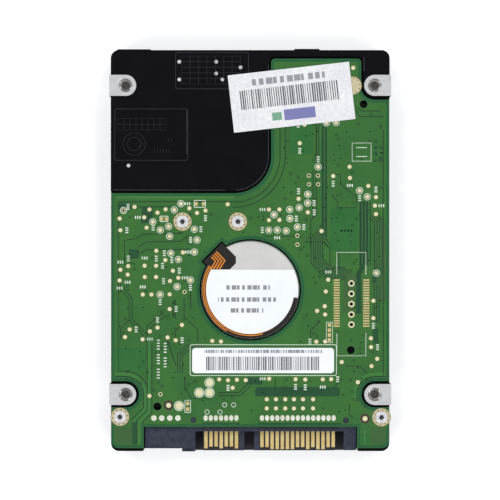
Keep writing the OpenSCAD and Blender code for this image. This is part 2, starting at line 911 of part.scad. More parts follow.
module preamp_chip() {
    color([0.1, 0.1, 0.1]) at_pivot() rotate(72)
        block([block_r, -1.5, 2.4], [block_r + 0.7, 1.5, 4.6]);
}

// ---------- voice coil motor ----------

module yoke_outline() {
    difference() {
        sector(yoke_r0, yoke_r1, yoke_a0, yoke_a1);
        for (a = stop_angles) translate(polar(stop_reach, a)) circle(0.8);
    }
}

module cover_side_yoke() {
    color([0.7, 0.7, 0.72]) at_pivot() {
        slab(low_yoke_z, low_yoke_z + yoke_t) yoke_outline();
        for (a = stop_angles) translate(polar(stop_reach, a))
            slab(low_yoke_z + yoke_t - eps, 6.3) ring_2d(0.8, post_r);
    }
}

module base_side_yoke() {
    color([0.7, 0.7, 0.72]) at_pivot() slab(6.3, pocket_z) yoke_outline();
}

module coil_magnets() {
    lows = [low_yoke_z + yoke_t, 6.3 - magnet_t];
    color([0.75, 0.75, 0.77]) at_pivot() for (z = lows) slab(z, z + magnet_t)
        sector(8.2, 17.2, magnet_a0, magnet_a1);
}

module crash_stops() {
    color([0.1, 0.1, 0.1]) at_pivot() for (a = stop_angles) translate(polar(stop_reach, a))
        slab(3, 5.2) ring_2d(post_r, stop_r);
}

module yoke_screws() {
    color([0.72, 0.72, 0.74]) at_pivot() for (a = stop_angles) {
        p = polar(stop_reach, a);
        difference() {
            union() {
                drum(p, 1.5, low_yoke_z - 0.35, low_yoke_z);
                drum(p, 0.8, low_yoke_z - eps, 8.3);
            }
            socket(p, 0.7, 0, low_yoke_z - 0.1);
        }
    }
}

// ---------- ramp and latch ----------

module load_ramp() {
    color([0.9, 0.88, 0.82]) difference() {
        at_pivot() {
            slab(1, ceiling_z) sector(37.75, 41.5, -16.5, -7);
            for (i = [0, 2]) slab(beam_z[i] + beam_t + fly, beam_z[i + 1] - fly)
                sector(35.9, 37.9, -17.6, -10);
        }
        drum(inner_screw_points[2], 0.6, 0, 6);
        drum(inner_screw_points[2], 1.3, 0, ceiling_z - 1.8);
    }
}

module latch_lever() {
    hook = [
        latch + [-1.5, -0.6], latch + [-0.5, 1.3], [-31.9, 22.5], [-32.2, 28.2], [-31.3, 28.3],
        [-31.3, 29.3], [-32.9, 29.4], [-33, 22]
    ];
    tail = [latch + [0, 1.3], latch + [5, 0.9], latch + [5.2, -0.9], latch + [0, -1.5]];
    color([0.85, 0.83, 0.75]) difference() {
        union() {
            drum(latch, latch_hub_r, latch_z[0], latch_z[1]);
            slab(latch_z[0], latch_z[1]) polygon(hook);
            slab(latch_z[0], latch_z[1]) polygon(tail);
        }
        drum(latch, latch_pin_r + 0.04, latch_z[0] - eps, latch_z[1] + eps);
    }
}

module latch_pin() {
    color([0.7, 0.7, 0.72]) {
        drum(latch, latch_pin_r, 2.9, 8.2);
        drum(latch, 1.1, 5, 5.6);
        drum(latch, 1.2, 2.7, 3.1);
    }
}

base_casting();
top_cover();
cover_gasket();
cover_screws();
drive_label();
breather_filter();
recirculation_filter();
desiccant_pouch();
circuit_board();
board_screws();
board_label();
asset_label();
controller_chip();
cache_chip();
motor_driver_chip();
flash_chip();
board_passives();
board_insulator();
connector_housing();
signal_contacts();
power_contacts();
jumper_pins();
solder_joints();
head_connector();
flex_bracket();
inner_screws();
head_flex();
motor_plate();
motor_label();
motor_flex();
bearing_sleeve();
thrust_cap();
stator_core();
stator_coils();
spindle_hub();
spindle_shaft();
rotor_magnet();
cover_side_disk();
base_side_disk();
spacer_ring();
disk_clamp();
clamp_screw();
pivot_shaft();
pivot_races();
pivot_balls();
pivot_sleeve();
head_arms();
voice_coil();
coil_overmould();
suspensions();
head_sliders();
preamp_chip();
cover_side_yoke();
base_side_yoke();
coil_magnets();
crash_stops();
yoke_screws();
load_ramp();
latch_lever();
latch_pin();
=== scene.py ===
import json
import math
import random
import bpy
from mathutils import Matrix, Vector

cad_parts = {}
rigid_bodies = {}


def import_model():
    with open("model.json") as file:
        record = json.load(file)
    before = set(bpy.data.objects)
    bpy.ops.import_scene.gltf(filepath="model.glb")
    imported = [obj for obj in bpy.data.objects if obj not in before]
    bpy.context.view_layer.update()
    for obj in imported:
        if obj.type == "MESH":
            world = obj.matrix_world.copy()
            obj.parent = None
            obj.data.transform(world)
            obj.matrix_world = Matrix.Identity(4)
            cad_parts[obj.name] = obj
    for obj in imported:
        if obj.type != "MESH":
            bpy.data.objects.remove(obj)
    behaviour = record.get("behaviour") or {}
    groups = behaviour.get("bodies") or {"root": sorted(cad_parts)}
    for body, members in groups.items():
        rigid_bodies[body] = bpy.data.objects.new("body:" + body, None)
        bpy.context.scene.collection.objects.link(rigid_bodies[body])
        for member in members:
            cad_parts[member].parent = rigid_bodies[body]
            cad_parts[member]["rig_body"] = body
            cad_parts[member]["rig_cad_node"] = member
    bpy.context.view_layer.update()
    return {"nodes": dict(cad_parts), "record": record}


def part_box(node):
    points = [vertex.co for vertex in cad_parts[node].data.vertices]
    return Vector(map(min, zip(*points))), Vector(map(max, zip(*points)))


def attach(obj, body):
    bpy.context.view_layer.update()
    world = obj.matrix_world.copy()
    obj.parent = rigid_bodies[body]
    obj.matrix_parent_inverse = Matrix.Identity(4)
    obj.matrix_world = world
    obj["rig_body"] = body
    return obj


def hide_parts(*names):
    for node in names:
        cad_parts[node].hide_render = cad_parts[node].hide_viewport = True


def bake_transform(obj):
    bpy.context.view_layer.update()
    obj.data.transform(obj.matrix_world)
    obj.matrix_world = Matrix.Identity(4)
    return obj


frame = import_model()
nodes = frame["nodes"]
mm = 0.001
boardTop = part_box("circuit_board")[1].z / mm
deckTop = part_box("asset_label")[0].z / mm
boardBase = boardTop - 0.02  # what is added to the board starts just under its face
heightSlack = 1e-4  # heights this close, in mm, count as the same
plateLow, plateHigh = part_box("motor_plate")
plateTop = plateHigh.z / mm
spindle = ((plateLow.x + plateHigh.x) / 2 / mm, (plateLow.y + plateHigh.y) / 2 / mm)
print("frame loaded with", len(nodes), "nodes")


def tone(red, green, blue):
    def linear(value):
        value /= 255
        return value / 12.92 if value <= 0.04045 else ((value + 0.055) / 1.055) ** 2.4
    return (linear(red), linear(green), linear(blue), 1)


# node helpers

def addNode(tree, kind, inputs=None, **settings):
    node = tree.nodes.new(kind)
    for key, value in settings.items():
        setattr(node, key, value)
    for key, value in (inputs or {}).items():
        if isinstance(value, bpy.types.NodeSocket):
            tree.links.new(value, node.inputs[key])
        else:
            node.inputs[key].default_value = value
    return node


def calc(tree, operation, *values, clamp=False):
    inputs = dict(enumerate(values))
    return addNode(tree, "ShaderNodeMath", inputs, operation=operation, use_clamp=clamp).outputs[0]


def remap(tree, value, fromLow, fromHigh, toLow, toHigh):
    inputs = {"Value": value, "From Min": fromLow, "From Max": fromHigh, "To Min": toLow, "To Max": toHigh}
    return addNode(tree, "ShaderNodeMapRange", inputs).outputs[0]


def blendColour(tree, mask, first, second):
    node = addNode(tree, "ShaderNodeMix", {0: mask, 6: first, 7: second}, data_type="RGBA")
    return node.outputs[2]


def newGroup(name, inputs, outputs):
    group = bpy.data.node_groups.new(name, "ShaderNodeTree")
    for label, value in inputs.items():
        kind = "NodeSocketVector" if value is None else "NodeSocketFloat"
        socket = group.interface.new_socket(name=label, in_out="INPUT", socket_type=kind)
        if value is not None:
            socket.default_value = value
    for label in outputs:
        group.interface.new_socket(name=label, in_out="OUTPUT", socket_type="NodeSocketFloat")
    return group, group.nodes.new("NodeGroupInput").outputs, group.nodes.new("NodeGroupOutput").inputs


def useGroup(tree, group, inputs):
    return addNode(tree, "ShaderNodeGroup", inputs, node_tree=group).outputs


# an empty material, and the object's own coordinates to place its patterns by
def newMaterial(name):
    material = bpy.data.materials.new(name)
    material.use_nodes = True
    tree = material.node_tree
    place = addNode(tree, "ShaderNodeTexCoord").outputs["Object"]
    return material, tree, tree.nodes["Principled BSDF"], place


def addRelief(tree, shader, height, strength, depth):
    bump = addNode(tree, "ShaderNodeBump", {"Height": height, "Strength": strength, "Distance": depth * mm})
    tree.links.new(bump.outputs[0], shader.inputs["Normal"])


noiseSpan = (0.3, 0.7, 0.0, 1.0)  # most of a noise texture's values, spread over 0 to 1


# fine grain and slow clouds, both about 0 to 1
grainGroup, ins, outs = newGroup("grain", {"Place": None, "Size mm": 0.2, "Cloud mm": 6.0},
                                 ["Fine", "Cloud"])
for label, size, detail in (("Fine", "Size mm", 5.0), ("Cloud", "Cloud mm", 3.0)):
    scale = calc(grainGroup, "DIVIDE", 1000.0, ins[size])
    noise = addNode(grainGroup, "ShaderNodeTexNoise", {"Vector": ins["Place"], "Scale": scale,
        "Detail": detail})
    grainGroup.links.new(remap(grainGroup, noise.outputs[0], *noiseSpan), outs[label])

# long brushed lines along X
brushGroup, ins, outs = newGroup("brushing", {"Place": None, "Pitch mm": 0.08, "Length mm": 12.0}, ["Lines"])
parts = addNode(brushGroup, "ShaderNodeSeparateXYZ", {0: ins["Place"]}).outputs
across = calc(brushGroup, "DIVIDE", 1000.0, ins["Pitch mm"])
along = calc(brushGroup, "DIVIDE", 1000.0, ins["Length mm"])
stretched = addNode(brushGroup, "ShaderNodeCombineXYZ", {
    0: calc(brushGroup, "MULTIPLY", parts[0], along),
    1: calc(brushGroup, "MULTIPLY", parts[1], across),
    2: calc(brushGroup, "MULTIPLY", parts[2], across)}).outputs[0]
noise = addNode(brushGroup, "ShaderNodeTexNoise", {"Vector": stretched, "Scale": 1.0, "Detail": 4.0})
brushGroup.links.new(remap(brushGroup, noise.outputs[0], *noiseSpan), outs["Lines"])

# rings of a turned face round the place's own Z axis
turnGroup, ins, outs = newGroup("turning", {"Place": None, "Pitch mm": 0.1}, ["Rings"])
flat = addNode(
    turnGroup, "ShaderNodeVectorMath", {0: ins["Place"], 1: (1, 1, 0)}, operation="MULTIPLY").outputs[0]
reach = addNode(turnGroup, "ShaderNodeVectorMath", {0: flat}, operation="LENGTH").outputs["Value"]
count = calc(turnGroup, "MULTIPLY", reach, calc(turnGroup, "DIVIDE", 1000.0, ins["Pitch mm"]))
noise = addNode(
    turnGroup, "ShaderNodeTexNoise", {"W": count, "Scale": 1.0, "Detail": 3.0}, noise_dimensions="1D")
turnGroup.links.new(remap(turnGroup, noise.outputs[0], *noiseSpan), outs["Rings"])

# outer edges where a coat is rubbed through
wearGroup, ins, outs = newGroup("edgeWear", {"Place": None, "Width mm": 0.15, "Amount": 0.6}, ["Worn"])
radius = calc(wearGroup, "MULTIPLY", ins["Width mm"], 0.001)
soft = addNode(wearGroup, "ShaderNodeBevel", {"Radius": radius}, samples=4).outputs[0]
hard = addNode(wearGroup, "ShaderNodeNewGeometry").outputs["Normal"]
facing = addNode(
    wearGroup, "ShaderNodeVectorMath", {0: soft, 1: hard}, operation="DOT_PRODUCT").outputs["Value"]
edgeTurn = (0.03, 0.2, 0.0, 1.0)  # how far the normal turns before the coat wears
edge = remap(wearGroup, calc(wearGroup, "SUBTRACT", 1.0, facing), *edgeTurn)
noise = addNode(wearGroup, "ShaderNodeTexNoise", {"Vector": ins["Place"], "Scale": 900.0, "Detail": 4.0})
wornPatches = (0.42, 0.62, 0.0, 1.0)
broken = remap(wearGroup, noise.outputs[0], *wornPatches)
worn = calc(wearGroup, "MULTIPLY", edge, broken)
wearGroup.links.new(calc(wearGroup, "MULTIPLY", worn, ins["Amount"], clamp=True), outs["Worn"])

# over and under weave, as in glass cloth or felt
weaveGroup, ins, outs = newGroup("weave", {"Place": None, "Pitch mm": 0.5}, ["Height"])
parts = addNode(weaveGroup, "ShaderNodeSeparateXYZ", {0: ins["Place"]}).outputs
turnsPerMetre = calc(weaveGroup, "DIVIDE", 2000 * math.pi, ins["Pitch mm"])
waveX = calc(weaveGroup, "SINE", calc(weaveGroup, "MULTIPLY", parts[0], turnsPerMetre))
waveY = calc(weaveGroup, "SINE", calc(weaveGroup, "MULTIPLY", parts[1], turnsPerMetre))
weaveGroup.links.new(
    calc(weaveGroup, "MULTIPLY_ADD", calc(weaveGroup, "MULTIPLY", waveX, waveY), 0.5, 0.5), outs["Height"])

smallest = 0.005  # a bar or row pitch under this means none, mm
rowShare = 0.6

# a printed rectangle, plain, broken into upright bars, or broken into rows of short strokes
printGroup, ins, outs = newGroup(
    "printedMarks",
    {"Place": None, "Half Width": 5.0, "Half Height": 1.0, "Bar": 0.0, "Row": 0.0, "Fill": 0.5},
    ["Ink"])
parts = addNode(printGroup, "ShaderNodeSeparateXYZ", {0: ins["Place"]}).outputs
inX = calc(printGroup, "LESS_THAN", calc(printGroup, "ABSOLUTE", parts[0]), ins["Half Width"])
inY = calc(printGroup, "LESS_THAN", calc(printGroup, "ABSOLUTE", parts[1]), ins["Half Height"])
inside = calc(printGroup, "MULTIPLY", inX, inY)
stripe = calc(printGroup, "DIVIDE", parts[0], calc(printGroup, "MAXIMUM", ins["Bar"], 2 * smallest))
column = calc(printGroup, "FLOOR", stripe)
line = calc(printGroup, "DIVIDE", parts[1], calc(printGroup, "MAXIMUM", ins["Row"], 2 * smallest))
hasRows = calc(printGroup, "GREATER_THAN", ins["Row"], smallest)
row = calc(printGroup, "MULTIPLY", calc(printGroup, "FLOOR", line), hasRows)
cell = addNode(printGroup, "ShaderNodeCombineXYZ", {0: column, 1: row}).outputs[0]
dice = addNode(
    printGroup, "ShaderNodeTexWhiteNoise", {"Vector": cell}, noise_dimensions="2D").outputs["Value"]
duty = calc(printGroup, "MULTIPLY", ins["Fill"], calc(printGroup, "ADD", dice, 0.5))
inBar = calc(printGroup, "LESS_THAN", calc(printGroup, "FRACT", stripe), duty)
inRow = calc(printGroup, "LESS_THAN", calc(printGroup, "FRACT", line), rowShare)
barInk = calc(printGroup, "MAXIMUM", inBar, calc(printGroup, "LESS_THAN", ins["Bar"], smallest))
rowInk = calc(printGroup, "MAXIMUM", inRow, calc(printGroup, "LESS_THAN", ins["Row"], smallest))
marked = calc(printGroup, "MULTIPLY", barInk, rowInk)
printGroup.links.new(calc(printGroup, "MULTIPLY", inside, marked), outs["Ink"])
print("node groups built")


speckleMix = 0.8


# a finish: two colours clouded together, roughness between two values, and relief from one of the patterns
def makeFinish(name, look):
    material, tree, shader, place = newMaterial(name)
    if "centre" in look:
        x, y = look["centre"]
        shifted = {"Vector": place, "Location": (-x * mm, -y * mm, 0)}
        place = addNode(tree, "ShaderNodeMapping", shifted).outputs[0]
    sizes = {"Size mm": look.get("grain", 0.15), "Cloud mm": look.get("cloud", 5.0)}
    grain = useGroup(tree, grainGroup, {"Place": place, **sizes})
    relief = grain["Fine"]
    if look.get("pattern") == "brushed":
        relief = useGroup(
            tree, brushGroup, {"Place": place, "Pitch mm": look["pitch"], "Length mm": look["length"]})[0]
    if look.get("pattern") == "turned":
        relief = useGroup(tree, turnGroup, {"Place": place, "Pitch mm": look["pitch"]})[0]
    if look.get("pattern") == "weave":
        relief = useGroup(tree, weaveGroup, {"Place": place, "Pitch mm": look["pitch"]})[0]
    colour = blendColour(tree, grain["Cloud"], look["colour"], look["second"])
    speckle = look.get("speckle", 0.0)
    if speckle:
        darker = tuple(c * (1 - speckle) for c in look["colour"][:3]) + (1,)
        colour = blendColour(tree, calc(tree, "MULTIPLY", relief, speckleMix), colour, darker)
    rough = remap(tree, relief, 0.0, 1.0, *look["rough"])
    if "worn" in look:
        sizes = {"Width mm": look["wornWidth"], "Amount": look["wornAmount"]}
        mask = useGroup(tree, wearGroup, {"Place": place, **sizes})[0]
        colour = blendColour(tree, mask, colour, look["worn"])
        tree.links.new(mask, shader.inputs["Metallic"])
    else:
        shader.inputs["Metallic"].default_value = look.get("metal", 0.0)
    tree.links.new(colour, shader.inputs["Base Color"])
    tree.links.new(rough, shader.inputs["Roughness"])
    addRelief(tree, shader, relief, look.get("strength", 0.4), look["depth"])
    shader.inputs["Specular IOR Level"].default_value = look.get("specular", 0.5)
    shader.inputs["Coat Weight"].default_value = look.get("coat", 0.0)
    shader.inputs["Coat Roughness"].default_value = look.get("coatRough", 0.1)
    return material


def twoTone(colour, second, rough, **rest):
    return {"colour": tone(*colour), "second": tone(*second), "rough": rough, **rest}


# copper and fields seen through the board's green mask
def underMask(colour, second, rough):
    return twoTone(colour, second, rough, grain=0.3, depth=0.003)


# what each of the drive's finishes looks like: two colours, roughness from and to, sizes in mm
looks = {
    "blackCoat": twoTone((9, 9, 13), (13, 13, 18), (0.42, 0.58), grain=0.22, depth=0.01, specular=0.07,
        worn=tone(110, 110, 114), wornWidth=0.08, wornAmount=0.12),
    "embossBlack": twoTone((34, 34, 40), (44, 44, 50), (0.36, 0.5), grain=0.2, depth=0.006, specular=0.25),
    # lighter grey for the lines along the deck's edges: painted highlight
    "rubbedBlack": twoTone((86, 86, 94), (52, 52, 60), (0.3, 0.45), metal=0.3, grain=0.2, cloud=2.5,
        depth=0.006),
    "bareAlloy": twoTone((226, 226, 226), (204, 204, 206), (0.3, 0.6), metal=0.5, grain=0.16, cloud=1.6,
        depth=0.03, strength=0.8, speckle=0.3),
    "threadSteel": twoTone((206, 200, 196), (140, 134, 130), (0.25, 0.45), metal=0.2, grain=0.1, cloud=0.6,
        depth=0.01),
    "coverSheet": twoTone((205, 206, 208), (190, 191, 194), (0.24, 0.42), metal=1.0, pattern="brushed",
        pitch=0.06, length=14.0, depth=0.003),
    "sealRubber": twoTone((28, 28, 29), (36, 36, 37), (0.7, 0.9), grain=0.12, depth=0.02),
    "screwSteel": twoTone((248, 248, 250), (204, 204, 208), (0.14, 0.3), metal=0.3, cloud=0.7, grain=0.2,
        depth=0.004),
    "cutSteel": twoTone((206, 204, 202), (132, 126, 122), (0.15, 0.3), metal=0.85, grain=0.14, cloud=0.5,
        depth=0.02, speckle=0.2),
    # darker steel for the screw sockets: painted shade in the recess
    "socketShade": twoTone((52, 48, 48), (84, 80, 80), (0.3, 0.5), metal=0.3, cloud=0.3, grain=0.1,
        depth=0.004),
    "filterFelt": twoTone((232, 232, 226), (214, 214, 206), (0.85, 0.95), pattern="weave", pitch=0.25,
        depth=0.05),
    # lighter green for the board's cut edges; on the eased top edge it is a painted highlight
    "glassEdge": twoTone((84, 150, 112), (96, 158, 118), (0.45, 0.7), pattern="brushed", pitch=0.09,
        length=1.5, depth=0.01),
    "trackGreen": underMask((4, 46, 23), (12, 58, 29), (0.3, 0.45)),
    "copperGreen": underMask((56, 112, 54), (48, 102, 50), (0.28, 0.42)),
    "fieldGreen": underMask((16, 68, 38), (26, 78, 42), (0.3, 0.45)),
    "oliveGreen": underMask((58, 96, 46), (48, 90, 44), (0.3, 0.45)),
    "paleGreen": underMask((60, 120, 52), (52, 112, 50), (0.26, 0.4)),
    "cleanGreen": underMask((32, 98, 42), (40, 106, 46), (0.26, 0.4)),
    "rimGreen": underMask((22, 84, 48), (28, 92, 52), (0.26, 0.4)),
    "bayBrown": twoTone((66, 46, 36), (48, 38, 30), (0.4, 0.6), grain=0.2, depth=0.004),
    "padGold": twoTone((240, 236, 198), (220, 212, 158), (0.2, 0.42), metal=0.15, grain=0.12, cloud=1.1,
        depth=0.01, speckle=0.1),
    "landCream": twoTone((214, 204, 168), (190, 178, 138), (0.25, 0.45), metal=0.15, grain=0.12, cloud=0.8,
        depth=0.01, speckle=0.12),
    "landGold": twoTone((226, 208, 150), (204, 180, 118), (0.22, 0.42), metal=0.2, grain=0.12, cloud=1.0,
        depth=0.01, speckle=0.15),
    "padFringe": twoTone((112, 88, 44), (92, 84, 42), (0.4, 0.6), grain=0.1, depth=0.004),
    # near black for the inside of holes: painted shade
    "holeDark": twoTone((5, 8, 6), (10, 14, 11), (0.5, 0.7), grain=0.1, depth=0.004, specular=0.1),
    "silkInk": twoTone((224, 234, 218), (190, 206, 186), (0.5, 0.7), grain=0.1, depth=0.006),
    "chipBlack": twoTone((32, 32, 34), (40, 40, 42), (0.5, 0.7), grain=0.08, depth=0.01),
    "partCeramic": twoTone((168, 140, 108), (150, 122, 94), (0.4, 0.6), grain=0.1, depth=0.006),
    "foamGrey": twoTone((58, 58, 62), (70, 70, 74), (0.8, 0.95), grain=0.1, depth=0.05),
    "connectorPlastic": twoTone((36, 41, 58), (62, 67, 84), (0.45, 0.68), grain=0.3, cloud=1.6, depth=0.02,
        specular=0.35, speckle=0.3),
    # darker plastic for the connector's recess: painted shade
    "connectorDark": twoTone((20, 20, 30), (28, 28, 38), (0.45, 0.65), grain=0.2, depth=0.01),
    "contactGold": twoTone((236, 214, 150), (222, 192, 118), (0.22, 0.34), metal=0.35, grain=0.5, cloud=2.0,
        depth=0.001),
    "solderTin": twoTone((242, 244, 228), (222, 224, 200), (0.2, 0.4), metal=0.2, grain=0.2, depth=0.01),
    "headerPlastic": twoTone((222, 216, 196), (208, 200, 178), (0.45, 0.6), grain=0.12, depth=0.005),
    "flexFilm": twoTone((24, 20, 18), (32, 27, 24), (0.3, 0.42), grain=0.4, depth=0.006),
    "flexCopper": twoTone((244, 156, 48), (226, 128, 34), (0.28, 0.42), metal=0.2, grain=0.3, depth=0.004),
    "amberFilm": twoTone((176, 108, 36), (158, 92, 28), (0.22, 0.34), pattern="brushed", pitch=0.35,
        length=60.0, depth=0.01, coat=0.3),
    "plateSteel": twoTone((220, 220, 217), (212, 212, 209), (0.3, 0.42), metal=0.25, pattern="turned",
        pitch=0.12, centre=spindle, depth=0.003),
    "yokeSteel": twoTone((186, 186, 190), (170, 170, 174), (0.25, 0.4), metal=1.0, grain=0.3, depth=0.006),
    "bearingBronze": twoTone((190, 150, 86), (172, 132, 72), (0.25, 0.4), metal=1.0, pattern="turned",
        pitch=0.1, centre=spindle, depth=0.003),
    "coreSteel": twoTone((116, 116, 122), (100, 100, 106), (0.35, 0.5), metal=0.9, grain=0.1, depth=0.01),
    "windingCopper": twoTone((184, 98, 50), (164, 82, 40), (0.25, 0.4), metal=0.9, pattern="brushed",
        pitch=0.16, length=40.0, depth=0.04, coat=0.4),
    "turnedAluminium": twoTone((216, 216, 220), (202, 202, 206), (0.18, 0.34), metal=1.0, pattern="turned",
        pitch=0.1, centre=spindle, depth=0.004),
    "hardSteel": twoTone((200, 200, 204), (188, 188, 193), (0.08, 0.2), metal=1.0, grain=0.2, depth=0.002),
    "magnetDark": twoTone((62, 62, 66), (52, 52, 56), (0.45, 0.65), metal=0.3, grain=0.1, depth=0.01),
    "magnetNickel": twoTone((208, 204, 196), (192, 188, 180), (0.1, 0.22), metal=1.0, grain=0.3,
        depth=0.003),
    "diskMirror": twoTone((226, 228, 232), (220, 222, 226), (0.02, 0.05), metal=1.0, pattern="turned",
        pitch=0.5, centre=spindle, depth=0.0002),
    "armAluminium": twoTone((208, 210, 214), (194, 196, 200), (0.25, 0.4), metal=1.0, pattern="brushed",
        pitch=0.1, length=4.0, depth=0.004),
    "mouldBlack": twoTone((36, 36, 39), (44, 44, 47), (0.45, 0.6), grain=0.12, depth=0.008),
    "springSteel": twoTone((210, 210, 214), (198, 198, 203), (0.15, 0.28), metal=1.0, pattern="brushed",
        pitch=0.05, length=6.0, depth=0.001),
    "sliderCeramic": twoTone((48, 48, 52), (56, 56, 60), (0.15, 0.25), grain=0.1, depth=0.002),
    "rampPlastic": twoTone((224, 219, 204), (212, 206, 190), (0.35, 0.5), grain=0.2, depth=0.005),
}
finishes = {name: makeFinish(name, look) for name, look in looks.items()}


# a slot such as screw_steel has the finish screwSteel, but for these two
otherFinish = {"cast_black": "blackCoat", "board_green": "fieldGreen"}


def slotFinish(slot):
    first, *rest = slot.split("_")
    return finishes[otherFinish.get(slot, first + "".join(word.capitalize() for word in rest))]


nodeSlot = {part["node"]: part["material_slot"] for part in frame["record"]["subparts"]}
printedNodes = ("board_label", "asset_label", "motor_label", "drive_label")
for node, part in nodes.items():
    part.data.materials.clear()
    part.data.materials.append(finishes["silkInk"] if node in printedNodes else slotFinish(nodeSlot[node]))
for node in ("cover_side_yoke", "base_side_yoke"):
    nodes[node].data.materials[0] = finishes["yokeSteel"]
print("finishes made:", len(finishes))


# paper labels: marks are rectangles of bars or strokes, placed from the label's middle in mm
def makeLabel(name, look):
    material, tree, shader, place = newMaterial(name)
    x, y = look["centre"]
    turned = addNode(tree, "ShaderNodeMapping", {
        "Vector": place, "Location": (x * mm, y * mm, 0), "Rotation": (0, 0, math.radians(look["angle"])),
        "Scale": (mm, mm, mm)}, vector_type="TEXTURE").outputs[0]
    sizes = {"Size mm": look["fibre"], "Cloud mm": paper["cloud"]}
    grain = useGroup(tree, grainGroup, {"Place": place, **sizes})
    colour = blendColour(tree, grain["Cloud"], look["colour"], look["second"])
    if "mottle" in look:
        soiled = calc(tree, "MULTIPLY", grain["Fine"], look["mottle"])
        colour = blendColour(tree, soiled, colour, paper["soil"])
    for mark in look["marks"]:
        middle = {0: turned, 1: (*mark["at"], 0)}
        at = addNode(tree, "ShaderNodeVectorMath", middle, operation="SUBTRACT").outputs[0]
        ink = useGroup(tree, printGroup, {
            "Place": at, "Half Width": mark["half"][0], "Half Height": mark["half"][1],
            "Bar": mark.get("bar", 0.0), "Row": mark.get("row", 0.0), "Fill": mark.get("fill", 0.5)})[0]
        shown = calc(tree, "MULTIPLY", ink, mark.get("strength", 0.9))
        colour = blendColour(tree, shown, colour, mark["ink"])
    tree.links.new(colour, shader.inputs["Base Color"])
    tree.links.new(remap(tree, grain["Fine"], 0.0, 1.0, *paper["rough"]), shader.inputs["Roughness"])
    addRelief(tree, shader, grain["Fine"], paper["strength"], paper["depth"])
    return material


paper = {"cloud": 9.0, "soil": tone(120, 120, 132), "rough": (0.42, 0.6), "strength": 0.3, "depth": 0.01}
black, grey, typeGrey = tone(30, 30, 36), tone(120, 124, 130), tone(96, 96, 100)
smallType = {"bar": 1.3, "fill": 0.6, "strength": 0.8}
labels = {
    "board_label": {
        "centre": (3.2, -27.2), "angle": 0.0, "fibre": 0.2, "colour": tone(244, 246, 250),
        "second": tone(236, 239, 244),
        "marks": [
            {"at": (-0.05, -0.75), "half": (14.1, 1.7), "bar": 0.44, "fill": 0.52, "ink": black},
            {"at": (0.0, 2.25), "half": (14.6, 0.4), "bar": 0.62, "fill": 0.66, "ink": grey},
        ]},
    "asset_label": {
        "centre": (10.25, 38.1), "angle": 6.5, "fibre": 0.9, "mottle": 0.22, "colour": tone(244, 244, 246),
        "second": tone(230, 231, 235),
        "marks": [
            {"at": (-0.4, 0.6), "half": (12.3, 2.4), "bar": 0.56, "fill": 0.5, "ink": tone(48, 48, 58)},
            {"at": (-0.6, 4.7), "half": (9.4, 0.8), "bar": 1.75, "fill": 0.62, "ink": tone(84, 84, 96),
             "strength": 0.7},
            {"at": (1.6, -4.2), "half": (3.9, 1.35), "ink": tone(84, 84, 160), "strength": 0.85},
            {"at": (-4.1, -4.3), "half": (1.2, 1.0), "ink": tone(76, 150, 110), "strength": 0.85},
        ]},
    "motor_label": {
        "centre": spindle, "angle": 0.0, "fibre": 0.25, "colour": tone(243, 246, 250),
        "second": tone(234, 238, 243),
        "marks": [
            {"at": (-0.7, 0.6), "half": (5.6, 0.55), "ink": typeGrey, **smallType},
            {"at": (-0.8, -2.4), "half": (7.2, 0.55), "ink": typeGrey, **smallType},
            {"at": (-0.95, -5.1), "half": (4.2, 0.55), "ink": typeGrey, **smallType},
        ]},
    "drive_label": {
        "centre": (0.0, -8.75), "angle": 0.0, "fibre": 0.3, "colour": tone(236, 238, 241),
        "second": tone(228, 231, 235),
        "marks": [
            {"at": (0.0, 24.0), "half": (26.0, 2.2), "ink": tone(70, 96, 130), "strength": 0.9},
            {"at": (-8.0, 14.0), "half": (15.0, 4.4), "bar": 0.8, "row": 2.2, "fill": 0.75, "ink": grey},
            {"at": (-6.0, 2.0), "half": (17.0, 3.0), "bar": 0.6, "fill": 0.5, "ink": black},
            {"at": (-6.0, -7.0), "half": (17.0, 2.2), "bar": 0.6, "fill": 0.5, "ink": black},
            {"at": (-4.0, -18.0), "half": (21.0, 5.5), "bar": 0.7, "row": 1.7, "fill": 0.7, "ink": grey},
            {"at": (19.5, 10.0), "half": (5.0, 5.0), "bar": 0.8, "row": 0.8, "fill": 0.5, "ink": black},
        ]},
}
for node, look in labels.items():
    nodes[node].data.materials[0] = makeLabel(node + "Print", look)
print("labels printed:", len(labels))


# modelling helpers; sizes in mm

def clear():
    if bpy.context.object and bpy.context.object.mode != "OBJECT":
        bpy.ops.object.mode_set(mode="OBJECT")
    bpy.ops.object.select_all(action="DESELECT")


def choose(*pieces):
    clear()
    for piece in pieces:
        piece.select_set(True)
    bpy.context.view_layer.objects.active = pieces[0]


def settle(piece):
    choose(piece)
    bpy.ops.object.transform_apply(location=True, rotation=True, scale=True)
    return piece


# edit mode with just the faces, edges or corners that the rule keeps
def pick(piece, kind, rule):
    choose(piece)
    bpy.ops.object.mode_set(mode="EDIT")
    bpy.ops.mesh.select_mode(type=kind)
    bpy.ops.mesh.select_all(action="DESELECT")
    bpy.ops.object.mode_set(mode="OBJECT")
    mesh = piece.data
    if kind == "FACE":
        for face in mesh.polygons:
            face.select = rule(face.center / mm, face.normal)
    elif kind == "EDGE":
        for line in mesh.edges:
            line.select = rule(*[mesh.vertices[i].co / mm for i in line.vertices])
    else:
        for point in mesh.vertices:
            point.select = rule(point.co / mm)
    bpy.ops.object.mode_set(mode="EDIT")


def done(piece):
    bpy.ops.object.mode_set(mode="OBJECT")
    return piece


def outward(piece):
    choose(piece)
    bpy.ops.object.mode_set(mode="EDIT")
    bpy.ops.mesh.select_all(action="SELECT")
    bpy.ops.mesh.remove_doubles(threshold=1e-7)
    bpy.ops.mesh.normals_make_consistent(inside=False)
    return done(piece)


